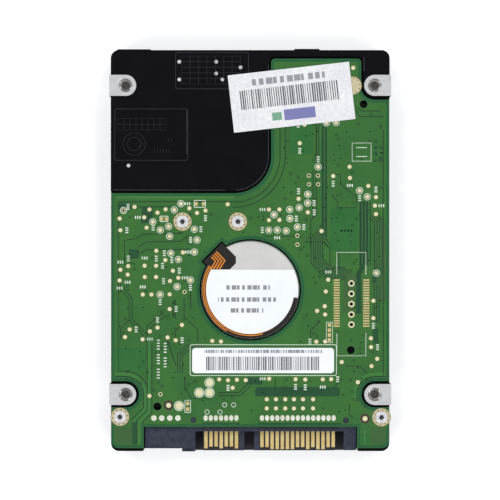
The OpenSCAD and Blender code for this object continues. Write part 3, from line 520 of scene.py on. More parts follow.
def disc(radius, low, high, sides=24, edge=0.0):
    clear()
    bpy.ops.mesh.primitive_cylinder_add(vertices=sides, radius=radius * mm, depth=(high - low) * mm,
                                        location=(0, 0, (low + high) / 2 * mm))
    piece = settle(bpy.context.object)
    if edge:
        pick(piece, "EDGE", lambda a, b: a.z > high - heightSlack and b.z > high - heightSlack)
        bpy.ops.mesh.bevel(offset=edge * mm, segments=2, affect="EDGES")
        done(piece)
    return piece


def flatRing(inner, outer, low, high, sides=28):
    clear()
    bpy.ops.mesh.primitive_circle_add(vertices=sides, radius=outer * mm, fill_type="NGON",
                                      location=(0, 0, low * mm))
    piece = settle(bpy.context.object)
    pick(piece, "FACE", lambda middle, normal: True)
    bpy.ops.mesh.inset(thickness=(outer - inner) * mm, depth=0)
    bpy.ops.mesh.delete(type="FACE")
    bpy.ops.mesh.select_all(action="SELECT")
    bpy.ops.mesh.extrude_region_move(TRANSFORM_OT_translate={"value": (0, 0, (high - low) * mm)})
    done(piece)
    return outward(piece)


def tile(low, high, corner=0.0, segments=1, edge=0.0):
    clear()
    bpy.ops.mesh.primitive_cube_add(size=1, location=[(a + b) / 2 * mm for a, b in zip(low, high)],
                                    scale=[(b - a) * mm for a, b in zip(low, high)])
    piece = settle(bpy.context.object)
    if corner:
        pick(piece, "EDGE", lambda a, b: abs(a.z - b.z) > heightSlack)
        bpy.ops.mesh.bevel(offset=corner * mm, segments=segments, affect="EDGES")
        done(piece)
    if edge:
        pick(piece, "EDGE", lambda a, b: a.z > high[2] - heightSlack and b.z > high[2] - heightSlack)
        bpy.ops.mesh.bevel(offset=edge * mm, segments=2, affect="EDGES")
        done(piece)
    return piece


def joined(pieces):
    choose(*pieces)
    if len(pieces) > 1:
        bpy.ops.object.join()
    return settle(bpy.context.object)


# one modelled piece copied to every place, each copy with its own mesh
def scatter(master, places):
    copies = []
    for place in places:
        twin = master.copy()
        twin.data = master.data.copy()
        twin.location = (place[0] * mm, place[1] * mm, 0)
        twin.rotation_euler.z = math.radians(place[2]) if len(place) > 2 else 0
        bpy.context.scene.collection.objects.link(twin)
        copies.append(twin)
    bpy.data.objects.remove(master)
    return joined(copies)


# low rounded ridges along lines, for tracks, ink and embossing
def ridges(lines, width, height, level):
    clear()
    bpy.ops.curve.primitive_bezier_curve_add(location=(0, 0, 0))
    piece = bpy.context.object
    piece.data.splines.clear()
    piece.data.dimensions = "3D"
    for line in lines:
        closed = len(line) > 2 and line[0] == line[-1]
        points = line[:-1] if closed else line
        spline = piece.data.splines.new("POLY")
        spline.points.add(len(points) - 1)
        spline.use_cyclic_u = closed
        for point, (x, y) in zip(spline.points, points):
            point.co = (x * mm, y * mm, 0, 1)
    piece.data.bevel_depth = width / 2 * mm
    piece.data.bevel_resolution = 1
    piece.data.use_fill_caps = True
    bpy.ops.object.convert(target="MESH")
    piece = bpy.context.object
    piece.scale.z = 2 * height / width
    piece.location.z = level * mm
    return settle(piece)


def finished(piece, name, finish, body="base", smooth=35):
    piece.name = name
    piece.data.name = name
    if finish:
        piece.data.materials.clear()
        piece.data.materials.append(finishes[finish])
    choose(piece)
    bpy.ops.object.shade_smooth_by_angle(angle=math.radians(smooth))
    weighting = piece.modifiers.new("weighting", "WEIGHTED_NORMAL")
    weighting.keep_sharp = True
    bpy.ops.object.modifier_apply(modifier=weighting.name)
    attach(piece, body)
    print("made", name, "with", len(piece.data.polygons), "faces")
    return piece


def arc(centre, radius, start, end, steps=12):
    angles = [math.radians(start + (end - start) * i / steps) for i in range(steps + 1)]
    return [(centre[0] + radius * math.cos(a), centre[1] + radius * math.sin(a)) for a in angles]


def box(x0, y0, x1, y1, corner=0.0):
    if not corner:
        return [(x0, y0), (x1, y0), (x1, y1), (x0, y1), (x0, y0)]
    c = corner
    line = arc((x1 - c, y0 + c), c, -90, 0, 4) + arc((x1 - c, y1 - c), c, 0, 90, 4)
    line += arc((x0 + c, y1 - c), c, 90, 180, 4) + arc((x0 + c, y0 + c), c, 180, 270, 4)
    return line + [line[0]]


# parallel copies of a line, a pitch apart
def bundle(line, count, pitch):
    found = []
    for k in range(count):
        shift = (k - (count - 1) / 2) * pitch
        copy = []
        for i, point in enumerate(line):
            here = Vector(point)
            before = (here - Vector(line[i - 1])).normalized() if i else None
            after = (Vector(line[i + 1]) - here).normalized() if i < len(line) - 1 else None
            before, after = before or after, after or before
            sideA, sideB = Vector((-before.y, before.x)), Vector((-after.y, after.x))
            mitre = (sideA + sideB).normalized()
            copy.append(tuple(here + mitre * (shift / max(0.3, mitre.dot(sideA)))))
        found.append(copy)
    return found


# a copy of a CAD shape with its coplanar triangles merged and its sharp edges eased
def eased(node, width, segments=2, sharp=35):
    source = nodes[node]
    piece = source.copy()
    piece.data = source.data.copy()
    piece.parent = None
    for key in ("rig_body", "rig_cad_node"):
        del piece[key]
    bpy.context.scene.collection.objects.link(piece)
    choose(piece)
    bpy.ops.object.mode_set(mode="EDIT")
    bpy.ops.mesh.select_all(action="SELECT")
    bpy.ops.mesh.remove_doubles(threshold=1e-6)
    bpy.ops.mesh.dissolve_limited(angle_limit=math.radians(0.6))
    bpy.ops.mesh.select_mode(type="EDGE")
    bpy.ops.mesh.select_all(action="DESELECT")
    bpy.ops.mesh.edges_select_sharp(sharpness=math.radians(sharp))
    if width:
        bpy.ops.mesh.bevel(offset=width * mm, segments=segments, affect="EDGES", clamp_overlap=True)
    done(piece)
    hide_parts(node)
    return piece


# the cast base: black all over, bare on the machined lugs and side pads
castBase = {
    "edge": 0.07, "lugX": 30.86, "lugRows": (-35.6, 41.0), "lugRadius": 2.6, "lugMargin": 0.05,
    "lugRise": 0.02, "wallX": 34.63, "wallLow": 2.4, "top": 9.5,
    "bore": 1.2, "mouth": 1.72, "sink": 0.45, "sinkProud": 0.01,
    "boreReach": 1.5, "boreLow": 6.4, "boreHigh": 9.3, "tipReach": 1.0, "tipHigh": 8.5,
    "steep": 0.4, "flat": 0.95, "mouthLow": 8.9, "rimReach": 2, "rimLow": 8.6,
}
lugPlaces = [(side * castBase["lugX"], row) for side in (-1, 1) for row in castBase["lugRows"]]


def onLug(x, y):
    aside = max(0, castBase["lugX"] - abs(x))
    limit = castBase["lugRadius"] + castBase["lugMargin"]
    return any(math.hypot(aside, y - row) < limit for row in castBase["lugRows"])


# 0 black coat, 1 bare alloy, 2 thread, 3 the cut mouth of a hole
def castFinish(centre, slope):
    x, y, z = centre
    reach = min(math.hypot(abs(x) - castBase["lugX"], y - row) for row in castBase["lugRows"])
    if z > castBase["boreLow"]:
        if reach < castBase["boreReach"] and z < castBase["boreHigh"] and slope < castBase["steep"]:
            return 2
        if reach < castBase["tipReach"] and z < castBase["tipHigh"]:
            return 2
    onSlope = castBase["steep"] <= slope < castBase["flat"]
    if onSlope and reach < castBase["mouth"] and z > castBase["mouthLow"]:
        return 3
    onSide = abs(x) > castBase["wallX"] and z > castBase["wallLow"]
    if onSide or z > deckTop + castBase["lugRise"] and onLug(x, y):
        return 1
    return 1 if reach < castBase["rimReach"] and z > castBase["rimLow"] else 0


# cuts a piece by another shape, which is used up
def cutAway(piece, cutter, name):
    choose(piece)
    cut = piece.modifiers.new(name, "BOOLEAN")
    cut.operation = "DIFFERENCE"
    cut.solver = "EXACT"
    cut.object = cutter
    bpy.ops.object.modifier_apply(modifier=cut.name)
    bpy.data.objects.remove(cutter)


base = eased("base_casting", castBase["edge"])
clear()
sinkMiddle = castBase["top"] - castBase["sink"] / 2 + castBase["sinkProud"]
bpy.ops.mesh.primitive_cone_add(vertices=40, radius1=castBase["bore"] * mm, radius2=castBase["mouth"] * mm,
                                depth=castBase["sink"] * mm, location=(0, 0, sinkMiddle * mm))
cutAway(base, scatter(settle(bpy.context.object), lugPlaces), "countersink")
for layer in ("bareAlloy", "threadSteel", "cutSteel"):
    base.data.materials.append(finishes[layer])
base.data.materials[0] = finishes["blackCoat"]
for face in base.data.polygons:
    face.material_index = castFinish(face.center / mm, abs(face.normal.z))
finished(base, "castBase", None)

# thread turns in the four bottom holes, mm
thread = {"radius": 1.24, "wall": 0.13, "pitch": 0.5, "turns": 5, "top": 8.9}
turns = []
for k in range(thread["turns"]):
    clear()
    turnLevel = thread["top"] - k * thread["pitch"]
    bpy.ops.mesh.primitive_torus_add(major_segments=32, minor_segments=6, major_radius=thread["radius"] * mm,
                                     minor_radius=thread["wall"] * mm, location=(0, 0, turnLevel * mm))
    turns.append(settle(bpy.context.object))
finished(scatter(joined(turns), lugPlaces), "lugThreads", "threadSteel")

# embossing on the raised deck over the arms, and painted highlight lines along the deck's edges, mm
deckMarks = {
    "width": 0.2, "fineWidth": 0.13, "height": 0.05,
    "frames": [(-33.6, 22.45, -15.5, 35.2, 0.5), (-18.5, 40.2, -0.4, 49.2, 0.5)],
    "grids": [(-32.8, 29.95, -20.9, 32.85, 8, 2), (-17.0, 41.4, -2.4, 48.3, 7, 5)],
    "circles": [(-28.8, 26.5, 2.8), (-28.8, 26.5, 1.7)],
    "dots": [(-17.6, 46.9), (-8.45, 46.9), (-2.4, 45.5), (-8.45, 44.0), (-17.6, 42.5), (-6.9, 42.5),
             (-30.2, 21.15)],
    "dotRadius": 0.45,
    "ticks": [(-23.8 + 0.75 * k, 24.3, 25.2) for k in range(6)] + [(x, 27.0, 28.0) for x in (-20.3, -19.5)],
    # lines along the deck's edges, drawn lighter: painted highlight
    "rubbed": [arc((-4.0, 23.5), 8.52, -86, 0, 18) + [(4.52, 46.2)], [(-33.9, 15.1), (-6.0, 15.05)],
               [(-15.7, 34.9), (-15.7, 24.0)], [(28.2, 48.2), (28.2, 44.6)]],
    "rubbedWidth": 0.1, "rubbedHeight": 0.02,
}
lines = [box(*outline) for outline in deckMarks["frames"]]
fine = []
for x0, y0, x1, y1, columns, rows in deckMarks["grids"]:
    fine.append(box(x0, y0, x1, y1))
    acrosses = [x0 + (x1 - x0) * i / columns for i in range(1, columns)]
    ups = [y0 + (y1 - y0) * i / rows for i in range(1, rows)]
    fine += [[(x, y0), (x, y1)] for x in acrosses] + [[(x0, y), (x1, y)] for y in ups]
for x, y, radius in deckMarks["circles"]:
    ring = arc((x, y), radius, 0, 360, 36)
    fine.append(ring[:-1] + [ring[0]])
fine += [[(x, low), (x, high)] for x, low, high in deckMarks["ticks"]]
emboss = [ridges(lines, deckMarks["width"], deckMarks["height"], deckTop),
          ridges(fine, deckMarks["fineWidth"], deckMarks["height"] * 0.7, deckTop)]
finished(joined(emboss), "deckEmboss", "embossBlack")
# lighter ridges along the deck's edges: painted highlight
rubbed = ridges(deckMarks["rubbed"], deckMarks["rubbedWidth"], deckMarks["rubbedHeight"], deckTop)
finished(rubbed, "deckRim", "rubbedBlack")
dots = scatter(disc(deckMarks["dotRadius"], deckTop - 0.05, deckTop + 0.03, 16, 0.02), deckMarks["dots"])
finished(dots, "deckDots", "bareAlloy")

deckCorner = (-4.0, 23.5)  # middle of the round corner where the board meets the deck

# the circuit board itself: mask on both faces, bare glass cloth round the edges, lighter on the eased top
# edge as a painted highlight, and darker round the two openings as painted shade
boardLook = {
    "edge": 0.05, "mask": tone(56, 111, 44), "deep": tone(45, 101, 41), "fleck": tone(34, 84, 38),
    "fleckMix": 0.25, "rough": (0.24, 0.36), "grain": 0.5, "cloud": 7.0, "weavePitch": 0.55,
    "weaveShare": 0.35, "grainShare": 0.65,
    "strength": 0.35, "depth": 0.012, "specular": 0.45, "coat": 0.25, "coatRough": 0.2,
    "flat": 0.95, "openings": [(spindle, 15), (deckCorner, 11)],
}


def makeMask(name, look):
    material, tree, shader, place = newMaterial(name)
    grain = useGroup(tree, grainGroup, {"Place": place, "Size mm": look["grain"], "Cloud mm": look["cloud"]})
    weave = useGroup(tree, weaveGroup, {"Place": place, "Pitch mm": look["weavePitch"]})[0]
    colour = blendColour(tree, grain["Cloud"], look["mask"], look["deep"])
    fleck = blendColour(tree, calc(tree, "MULTIPLY", grain["Fine"], look["fleckMix"]), colour, look["fleck"])
    tree.links.new(fleck, shader.inputs["Base Color"])
    tree.links.new(remap(tree, grain["Fine"], 0.0, 1.0, *look["rough"]), shader.inputs["Roughness"])
    speckled = calc(tree, "MULTIPLY", grain["Fine"], look["grainShare"])
    height = calc(tree, "MULTIPLY_ADD", weave, look["weaveShare"], speckled)
    addRelief(tree, shader, height, look["strength"], look["depth"])
    shader.inputs["Specular IOR Level"].default_value = look["specular"]
    shader.inputs["Coat Weight"].default_value = look["coat"]
    shader.inputs["Coat Roughness"].default_value = look["coatRough"]
    return material


panel = eased("circuit_board", boardLook["edge"], segments=1)
panel.data.materials[0] = makeMask("solderMask", boardLook)
panel.data.materials.append(finishes["glassEdge"])
panel.data.materials.append(finishes["rimGreen"])
# eased top edges get the lighter glass colour, a painted highlight; the edges round the two openings get the
# darker rim green, painted shade
for face in panel.data.polygons:
    x, y, z = face.center / mm
    openingEdge = any(math.hypot(x - a, y - b) < reach for (a, b), reach in boardLook["openings"])
    face.material_index = 0 if abs(face.normal.z) > boardLook["flat"] else 2 if openingEdge else 1
finished(panel, "boardPanel", None)

# copper under the mask: dark gaps beside the tracks, lighter copper between them, mm
leftLug, rightLug, farLug = lugPlaces[0], lugPlaces[2], lugPlaces[3]
tracks = {
    "gapWidth": 0.23, "gapHeight": 0.012, "copperWidth": 0.24, "copperHeight": 0.02, "rimWidth": 0.8,
    "rimHeight": 0.004,
    "bands": [
        ("paleBands", "paleGreen", 0.8, 0.006, [
            [(-33.5, -30.5)] + arc(leftLug, 4.95, 88, 0, 12) + [(-25.95, -39.2), (-28.9, -42.2)],
            [(-25.0, -20.6), (-25.0, -39.8), (-27.4, -42.4), (-27.4, -48.1)], [(28.4, -44.6), (28.4, -48.1)],
            [(33.5, -30.5)] + arc(rightLug, 4.95, 92, 200, 12),
            [(-4.0, 13.3), (-33.2, 13.3)]]),
        ("shadeBands", "oliveGreen", 2.9, 0.007, [
            [(17.9, 4.0), (16.6, 2.6), (16.6, -2.4), (19.2, -5.4)],
            [(19.0, -4.9), (22.8, -5.2), (26.2, -8.2)],
            [(24.6, -7.4), (24.4, -15.4)], [(32.2, 7.0), (32.2, -12.5)]]),
        ("deepBands", "fieldGreen", 1.25, 0.009, [
            [(27.7, 12.2), (27.7, -4.4), (26.9, -5.6), (26.9, -15.6)], [(28.9, 12.2), (28.9, -3.6)],
            [(18.4, 32.6), (18.4, 3.4)], [(-28.7, -42.6), (-28.7, -48.0)], [(31.0, -5.6), (31.0, -8.0)],
            [(30.9, -19.0), (31.3, -23.2)]]),
    ],
    "single": [
        [(-32.7, 12.2), (-32.7, -29.9), (-30.9, -29.9)] + arc(leftLug, 5.65, 88, 16, 8)
        + [(-25.6, -34.0), (-25.6, -20.2)],
        [(-33.6, -31.2), (-30.9, -31.2)] + arc(leftLug, 4.35, 88, 0, 10) + [(-26.5, -39.0), (-29.4, -41.9)],
        [(-25.6, -33.6), (-25.6, -39.5), (-28.2, -42.1), (-28.2, -48.0)],
        [(-24.4, -23.0), (-24.4, -40.1), (-26.6, -42.4), (-26.6, -43.0)],
        [(33.6, -31.2), (30.9, -31.2)] + arc(rightLug, 4.35, 92, 180, 10) + [(26.5, -37.4)],
        [(33.0, 30.0), (33.0, -31.0)], [(-32.6, 12.2), (-1.4, 12.2)], [(-30.6, 10.9), (-18.0, 10.9)],
        [(7.4, 33.0), (7.4, 23.5)] + arc(deckCorner, 11.4, 0, -76, 14),
        [(8.7, 31.0), (8.7, 23.5)] + arc(deckCorner, 12.7, 0, -84, 14) + [(-4.4, 10.8)],
        [(-31.2, -3.6), (-31.2, 2.6), (-28.4, 3.0), (-26.5, 4.1), (-16.6, 4.4)],
        [(-27.8, 0.8), (-25.8, 2.2), (-17.2, 2.4), (-15.2, 4.0)],
        [(-28.0, -1.0), (-25.8, 0.2), (-15.0, 0.4)],
        [(-30.0, 0.4), (-30.0, -2.8), (-28.4, -3.4)], [(-29.0, 8.6), (-26.9, 8.6), (-26.9, 6.6)],
        [(-32.2, -8.2), (-32.2, -9.6), (-30.0, -12.0), (-30.0, -17.2), (-26.4, -21.2)],
        [(-30.0, -17.2), (-32.2, -19.4), (-32.2, -22.0)],
        [(-31.4, -9.0), (-30.9, -10.0), (-29.3, -11.7), (-29.3, -16.9), (-25.9, -20.6)],
        [(-25.6, -22.0), (-25.6, -18.8), (-24.0, -17.2), (-21.6, -15.4)],
        [(-24.8, -22.0), (-24.8, -19.2), (-23.4, -17.8), (-21.0, -16.2)],
        [(-18.6, -12.0), (-18.6, -16.8)], [(-19.0, -12.2), (-19.0, -16.6)],
        [(-16.4, -11.6), (-16.4, -16.4), (-13.0, -19.6), (-13.0, -22.6)],
        [(-14.8, -8.4), (-14.8, -14.4)], [(-18.6, -22.0), (-18.6, -20.0), (-17.2, -18.6)],
        [(-20.6, -22.0), (-18.4, -28.6)],
        [(-16.2, -31.2), (-16.2, -34.0), (-14.6, -36.6), (-9.8, -36.6)],
        [(-8.0, -35.9), (-2.4, -35.9), (0.2, -33.4), (0.2, -31.6)],
        [(-8.0, -35.2), (-2.8, -35.2), (-0.8, -33.2)],
        [(20.4, 18.9), (22.4, 18.9), (22.4, 16.6), (26.5, 13.2), (26.3, 10.7), (21.7, 10.7), (21.7, 12.2),
         (20.2, 14.0)],
        [(26.5, 35.7), (27.6, 34.7), (32.4, 34.7)], [(26.2, 35.0), (27.2, 33.3), (33.0, 33.3)],
        [(16.4, 33.0), (16.4, 9.0), (15.0, 7.6), (15.0, 1.0)], [(15.6, 20.0), (15.6, 8.2)],
        [(22.0, 0.2), (22.0, -4.6)],
        [(3.2, 3.6), (12.8, 3.6)], [(13.6, 2.2), (18.4, 2.2), (19.8, 0.8), (19.8, -4.0)],
        [(17.4, -17.4), (15.0, -19.8), (15.0, -22.0)],
        [(23.0, -31.6), (20.4, -34.2)], [(23.6, -28.6), (27.2, -28.6), (29.0, -30.4)],
        [(6.2, -34.4), (6.2, -31.8)],
        [(2.0, -42.9), (22.6, -42.9)], [(-12.0, -42.9), (-2.6, -42.9)],
        [(24.6, -38.0), (24.6, -40.6), (25.6, -41.6)],
    ],
    "bundles": [
        ([(18.4, 32.2), (18.4, 2.6), (19.6, 1.2)], 1, 0.9), ([(28.6, 12.4), (28.6, -3.4)], 3, 0.8),
        ([(30.4, 8.8), (31.8, 7.4), (31.8, -6.0)], 3, 0.62),
        ([(17.8, 4.0), (16.5, 2.6), (16.5, -2.5), (19.2, -5.4), (22.4, -5.6), (23.4, -6.6)], 5, 0.56),
        ([(31.4, -8.4), (31.4, -18.0)], 2, 0.6), ([(16.7, 36.0), (16.7, 22.6)], 1, 0.6),
        ([(-11.2, -24.0), (-15.6, -24.0), (-17.4, -25.8), (-17.4, -30.4)], 2, 0.6),
    ],
}
aim, side = Vector((-math.sqrt(0.5), math.sqrt(0.5))), Vector((-math.sqrt(0.5), -math.sqrt(0.5)))
notchCorners = ((12.4, -4.0), (14.0, -4.0), (14.0, 4.0), (12.4, 4.0))
notch = [tuple(Vector(spindle) + aim * reach + side * half) for reach, half in notchCorners]
outline = [(-34.1, 13.9)] + arc(deckCorner, 9.6, -90, 0, 16)
outline += [(5.6, 46.7), (6.2, 47.3), (26.6, 47.3), (27.15, 46.7)]
outline += arc(farLug, 3.9, 162, 270, 12) + [(34.1, 37.1), (34.1, -31.95)] + arc(rightLug, 3.65, 90, 270, 16)
outline += [(34.1, -39.25), (34.1, -47.7), (33.2, -48.55), (27.0, -48.55), (27.0, -43.3), (-26.9, -43.3)]
outline += [(-26.9, -48.55), (-33.2, -48.55), (-34.1, -47.7), (-34.1, -39.25)]
outline += arc(leftLug, 3.65, -90, 90, 16) + [(-34.1, -31.95)]
rims = [outline + [outline[0]], arc(spindle, 13.02, 116, -206, 60), notch]
rimRidges = ridges(rims, tracks["rimWidth"], tracks["rimHeight"], boardTop)
finished(rimRidges, "boardRim", "rimGreen")
for name, look, width, height, bands in tracks["bands"]:
    finished(ridges(bands, width, height, boardTop), name, look)
gaps, copper = list(tracks["single"]), []
for line, count, pitch in tracks["bundles"]:
    gaps += bundle(line, count + 1, pitch)
    copper += bundle(line, count, pitch)
gapRidges = ridges(gaps, tracks["gapWidth"], tracks["gapHeight"], boardTop)
finished(gapRidges, "boardGaps", "trackGreen")
copperRidges = ridges(copper, tracks["copperWidth"], tracks["copperHeight"], boardTop)
finished(copperRidges, "boardTracks", "copperGreen")

# darker fields where the copper stops, mm: low corner, high corner
fields = {
    "depth": 0.05, "corner": 0.4,
    "kinds": [("boardFields", "fieldGreen", 0.008, [
        (-32.6, 9.9, -29.6, 11.9), (-26.8, 6.9, -24.2, 10.9), (-30.0, -1.9, -27.6, 0.4),
        (1.25, -36.1, 22.2, -33.85), (22.4, 4.7, 23.0, 5.3), (23.2, 4.7, 23.8, 5.3),
        (24.0, 4.7, 24.6, 5.3), (24.8, 4.7, 25.4, 5.3), (30.6, 22.0, 31.4, 22.8), (31.8, 22.0, 33.0, 23.4),
        (30.8, 23.4, 31.6, 24.8), (32.2, 24.0, 33.0, 24.6), (30.6, 25.2, 31.6, 26.0),
        (32.0, 25.2, 33.0, 26.0),
        (-1.2, -33.2, 3.0, -31.4), (-15.4, 8.0, -14.6, 9.4)]),
        ("boardPours", "oliveGreen", 0.008, [(-33.6, -48.0, -29.4, -43.9), (29.8, -48.0, 33.6, -43.9)]),
        ("boardClearings", "cleanGreen", 0.005, [
            (19.9, 0.2, 26.6, 10.6), (27.4, -48.0, 29.6, -45.2), (-33.6, -29.6, -26.0, -24.0),
            (10.0, 24.0, 15.6, 33.0)]),
    ],
}
for name, look, height, places in fields["kinds"]:
    tiles = [tile((x0, y0, boardTop - fields["depth"]), (x1, y1, boardTop + height), fields["corner"], 2)
             for x0, y0, x1, y1 in places]
    finished(joined(tiles), name, look)

# test pads: plain gold lands, mm
plainPads = [
    (-28.7, 10.9), (-32.4, 8.0), (-32.2, 5.1), (-25.0, 10.25), (-23.0, 9.45), (-21.0, 10.3),
    (-15.1, 10.55), (-13.2, 9.4), (-11.1, 10.0), (-5.6, 11.55), (-26.3, 8.3), (-25.7, 5.75), (-23.3, 0.0),
    (-16.7, -0.4), (-21.05, -2.3), (-30.25, -3.8), (-26.2, -3.7), (-23.35, -3.7), (-32.2, -4.7),
    (-19.2, -4.95), (-30.4, -5.9), (-32.4, -7.35), (-26.15, -6.5), (-23.35, -6.5), (-17.85, -6.7),
    (-19.9, -7.5), (-26.65, -10.85), (-24.5, -10.85), (-20.0, -10.8), (-20.0, -14.45), (-16.95, -18.4),
    (-23.0, -19.05), (-29.9, -19.5), (-24.9, -20.0), (-31.05, -21.4), (-20.5, -21.5), (-26.7, -21.95),
    (-18.5, -22.2), (-9.4, -22.35), (-7.25, -22.5), (-25.0, -36.0), (-7.7, -31.9), (-5.5, -32.1),
    (-3.3, -32.0), (-1.1, -32.1), (-4.35, -34.0), (4.7, -31.75), (11.25, -31.85), (13.65, -31.95),
    (18.0, -31.9), (20.1, -31.85), (22.7, -27.6), (31.5, -26.8), (30.1, -28.6), (26.7, -32.6),
    (19.35, -7.15), (18.75, -10.1), (18.5, -13.75), (16.6, -14.9), (18.6, -15.8), (16.4, -22.55),
    (18.6, -22.5), (30.55, -12.4), (30.55, -16.7), (29.95, -21.7), (30.0, -23.9), (12.0, 12.9),
    (14.3, 9.55), (4.65, 10.25), (7.25, 10.25), (4.65, 7.6), (7.25, 7.65), (17.7, 4.9), (20.6, 18.55),
    (24.65, 20.85), (24.75, 18.1), (29.3, 16.1), (31.2, 13.3), (30.95, 11.2), (31.2, 9.1), (12.3, 26.7),
    (13.5, 31.3), (25.55, 45.4),
] + [(x, y) for x in (4.1, 6.4, 8.7, 10.85, 13.1, 15.6) for y in (-36.85, -39.1)]
ringedPads = [
    (-31.45, 10.0), (-18.85, 10.15), (-17.2, 11.7), (-24.15, 7.2), (-20.25, 6.05), (-22.3, 5.15),
    (-20.0, 3.6), (-13.85, 5.35), (-13.2, 2.7), (-13.85, -0.3), (-19.7, -0.6), (-17.8, -2.15),
    (-14.85, -7.25), (-18.15, -8.9), (-22.35, -10.85), (31.3, -5.5), (16.85, 20.85), (14.3, 14.05),
    (14.25, 11.85), (12.15, 10.7), (9.8, 10.25), (9.85, 8.0), (5.9, 8.95), (4.6, 5.15), (6.7, 5.15),
    (8.9, 4.95), (11.7, 5.9), (27.15, 14.95), (29.05, 13.4), (18.9, 31.75), (21.3, 31.85),
]
bigPads = [(-10.1, -32.7), (-12.65, -35.2), (-10.1, -35.2), (-17.65, -38.5)]
smallRings = [(-10.7, -40.0), (-7.5, -40.0), (-6.35, -38.25), (-4.1, -38.25)]
padSizes = {
    "radius": 0.5, "fringe": 0.6, "fringeHeight": 0.015, "height": 0.035, "eased": 0.02, "ringHeight": 0.03,
    "ring": (0.72, 0.87), "smallRing": (0.45, 0.6), "bigRadius": 0.95, "bigRing": (1.08, 1.25),
}
fringeTop, padTop = boardTop + padSizes["fringeHeight"], boardTop + padSizes["height"]
ringTop = boardTop + padSizes["ringHeight"]
fringes = scatter(disc(padSizes["fringe"], boardBase, fringeTop, 20), plainPads + ringedPads)
finished(fringes, "padFringes", "padFringe")
pads = scatter(disc(padSizes["radius"], boardBase, padTop, 20, padSizes["eased"]), plainPads + ringedPads)
bigs = scatter(disc(padSizes["bigRadius"], boardBase, padTop, 28, padSizes["eased"]), bigPads)
finished(joined([pads, bigs]), "testPads", "padGold")
rings = scatter(flatRing(*padSizes["ring"], boardBase, ringTop), ringedPads)
rings = joined([rings, scatter(flatRing(*padSizes["smallRing"], boardBase, ringTop), smallRings)])
bigRings = scatter(flatRing(*padSizes["bigRing"], boardBase, ringTop), bigPads)
finished(joined([rings, bigRings]), "silkRings", "silkInk")

# plated vias, fiducials and the row of holes between the two pad columns, mm
vias = {
    "places": [(-16.3, -10.2), (-22.3, -35.6), (14.55, 18.65), (16.8, 18.65), (14.6, 16.5), (16.85, 16.5),
               (11.7, 3.75), (11.7, 1.55)],
    "plugged": [(-31.45, 10.0)],
    "row": [(25.1, y) for y in (-8.1, -10.65, -13.2, -15.8, -18.3)],
    "fiducials": [(-20.25, -38.35), (28.5, -41.65)],
    "barrel": (0.28, 0.5), "rowRing": (0.45, 0.8), "mark": 0.62, "markEased": 0.015,
    "core": 0.3, "coreHeight": 0.045, "rowCore": 0.47, "rowCoreHeight": 0.032, "bay": 1.2, "bayHeight": 0.02,
}
barrels = scatter(flatRing(*vias["barrel"], boardBase, ringTop), vias["places"])
rowRings = scatter(flatRing(*vias["rowRing"], boardBase, padTop), vias["row"])
marks = scatter(disc(vias["mark"], boardBase, ringTop, 24, vias["markEased"]), vias["fiducials"])
finished(joined([barrels, rowRings, marks]), "platedVias", "padGold")
# dark discs inside the via holes and the hole row: painted shade
core = disc(vias["core"], boardBase, boardTop + vias["coreHeight"], 16)
cores = scatter(core, vias["places"] + vias["plugged"])
rowCores = scatter(disc(vias["rowCore"], boardBase, boardTop + vias["rowCoreHeight"], 20), vias["row"])
finished(joined([cores, rowCores]), "viaHoles", "holeDark")
bays = scatter(disc(vias["bay"], boardBase, boardTop + vias["bayHeight"], 32), vias["fiducials"])
finished(bays, "fiducialBays", "bayBrown")

# footprint of the debug connector, and the soldered rows of small pads, mm
footprint = {
    "pitch": 0.635, "count": 19, "firstY": -7.25, "columns": [(20.7, 22.2), (28.0, 29.6)], "padHeight": 0.36,
    "corner": 0.08, "pairHalf": (0.4, 0.45), "pairCorner": 0.1,
}


# a flat rectangle on the board, round the origin, with its corners rounded
def smallPad(halfX, halfY, height, corner=0.0):
    return tile((-halfX, -halfY, boardBase), (halfX, halfY, height), corner, 2 if corner else 1)


padTiles = []
for x0, x1 in footprint["columns"]:
    rows = [footprint["firstY"] - i * footprint["pitch"] for i in range(footprint["count"])]
    places = [((x0 + x1) / 2, y) for y in rows]
    pad = smallPad((x1 - x0) / 2, footprint["padHeight"] / 2, padTop, footprint["corner"])
    padTiles.append(scatter(pad, places))
pairs = [(-13.4, 11.65), (-11.6, 11.65), (-22.0, 7.9), (-20.8, 7.9), (-15.5, -37.9), (-15.5, -39.3)]
pairs += [(19.65, y) for y in (-18.4, -19.7, -20.9, -22.1)]
padTiles.append(scatter(smallPad(*footprint["pairHalf"], padTop, footprint["pairCorner"]), pairs))
finished(joined(padTiles), "smallPads", "landGold")

# white ink on the board: outlines, ticks and short strokes beside the pads, mm
silk = {
    "width": 0.17, "height": 0.03,
    "outlines": [
        box(-14.9, -30.95, 21.4, -23.3, 0.5), box(-13.9, 10.8, -11.1, 12.5, 0.2),
        box(-22.4, 7.25, -20.4, 8.6, 0.2),
        box(-16.2, -40.1, -14.8, -37.1, 0.2), box(25.3, 22.25, 30.0, 26.75), [(26.3, 23.4), (29.0, 23.4)],
        [(26.3, 25.6), (29.0, 25.6)], box(18.9, -22.8, 20.4, -17.7),
        [(21.5, -5.9), (21.5, -0.4), (28.7, -0.4), (28.7, -5.9)],
        [(21.5, -20.4), (21.5, -26.05), (28.7, -26.05), (28.7, -20.4)],
    ],
    "strokeHalf": (0.15, 0.36), "strokeHeight": 0.025, "strokeStep": 0.56, "skipped": 0.3, "apart": 2.1,
    "besides": [(1.6, 0), (-1.6, 0), (0, 1.9), (0, -1.9)],
    "runs": [(-22.8, -22.2, -33.4), (-21.1, -23.0, -29.6)],
    "runStep": 0.72, "runGroup": 5,
}
outlines = ridges(silk["outlines"], silk["width"], silk["height"], boardTop)
finished(outlines, "silkOutlines", "silkInk")

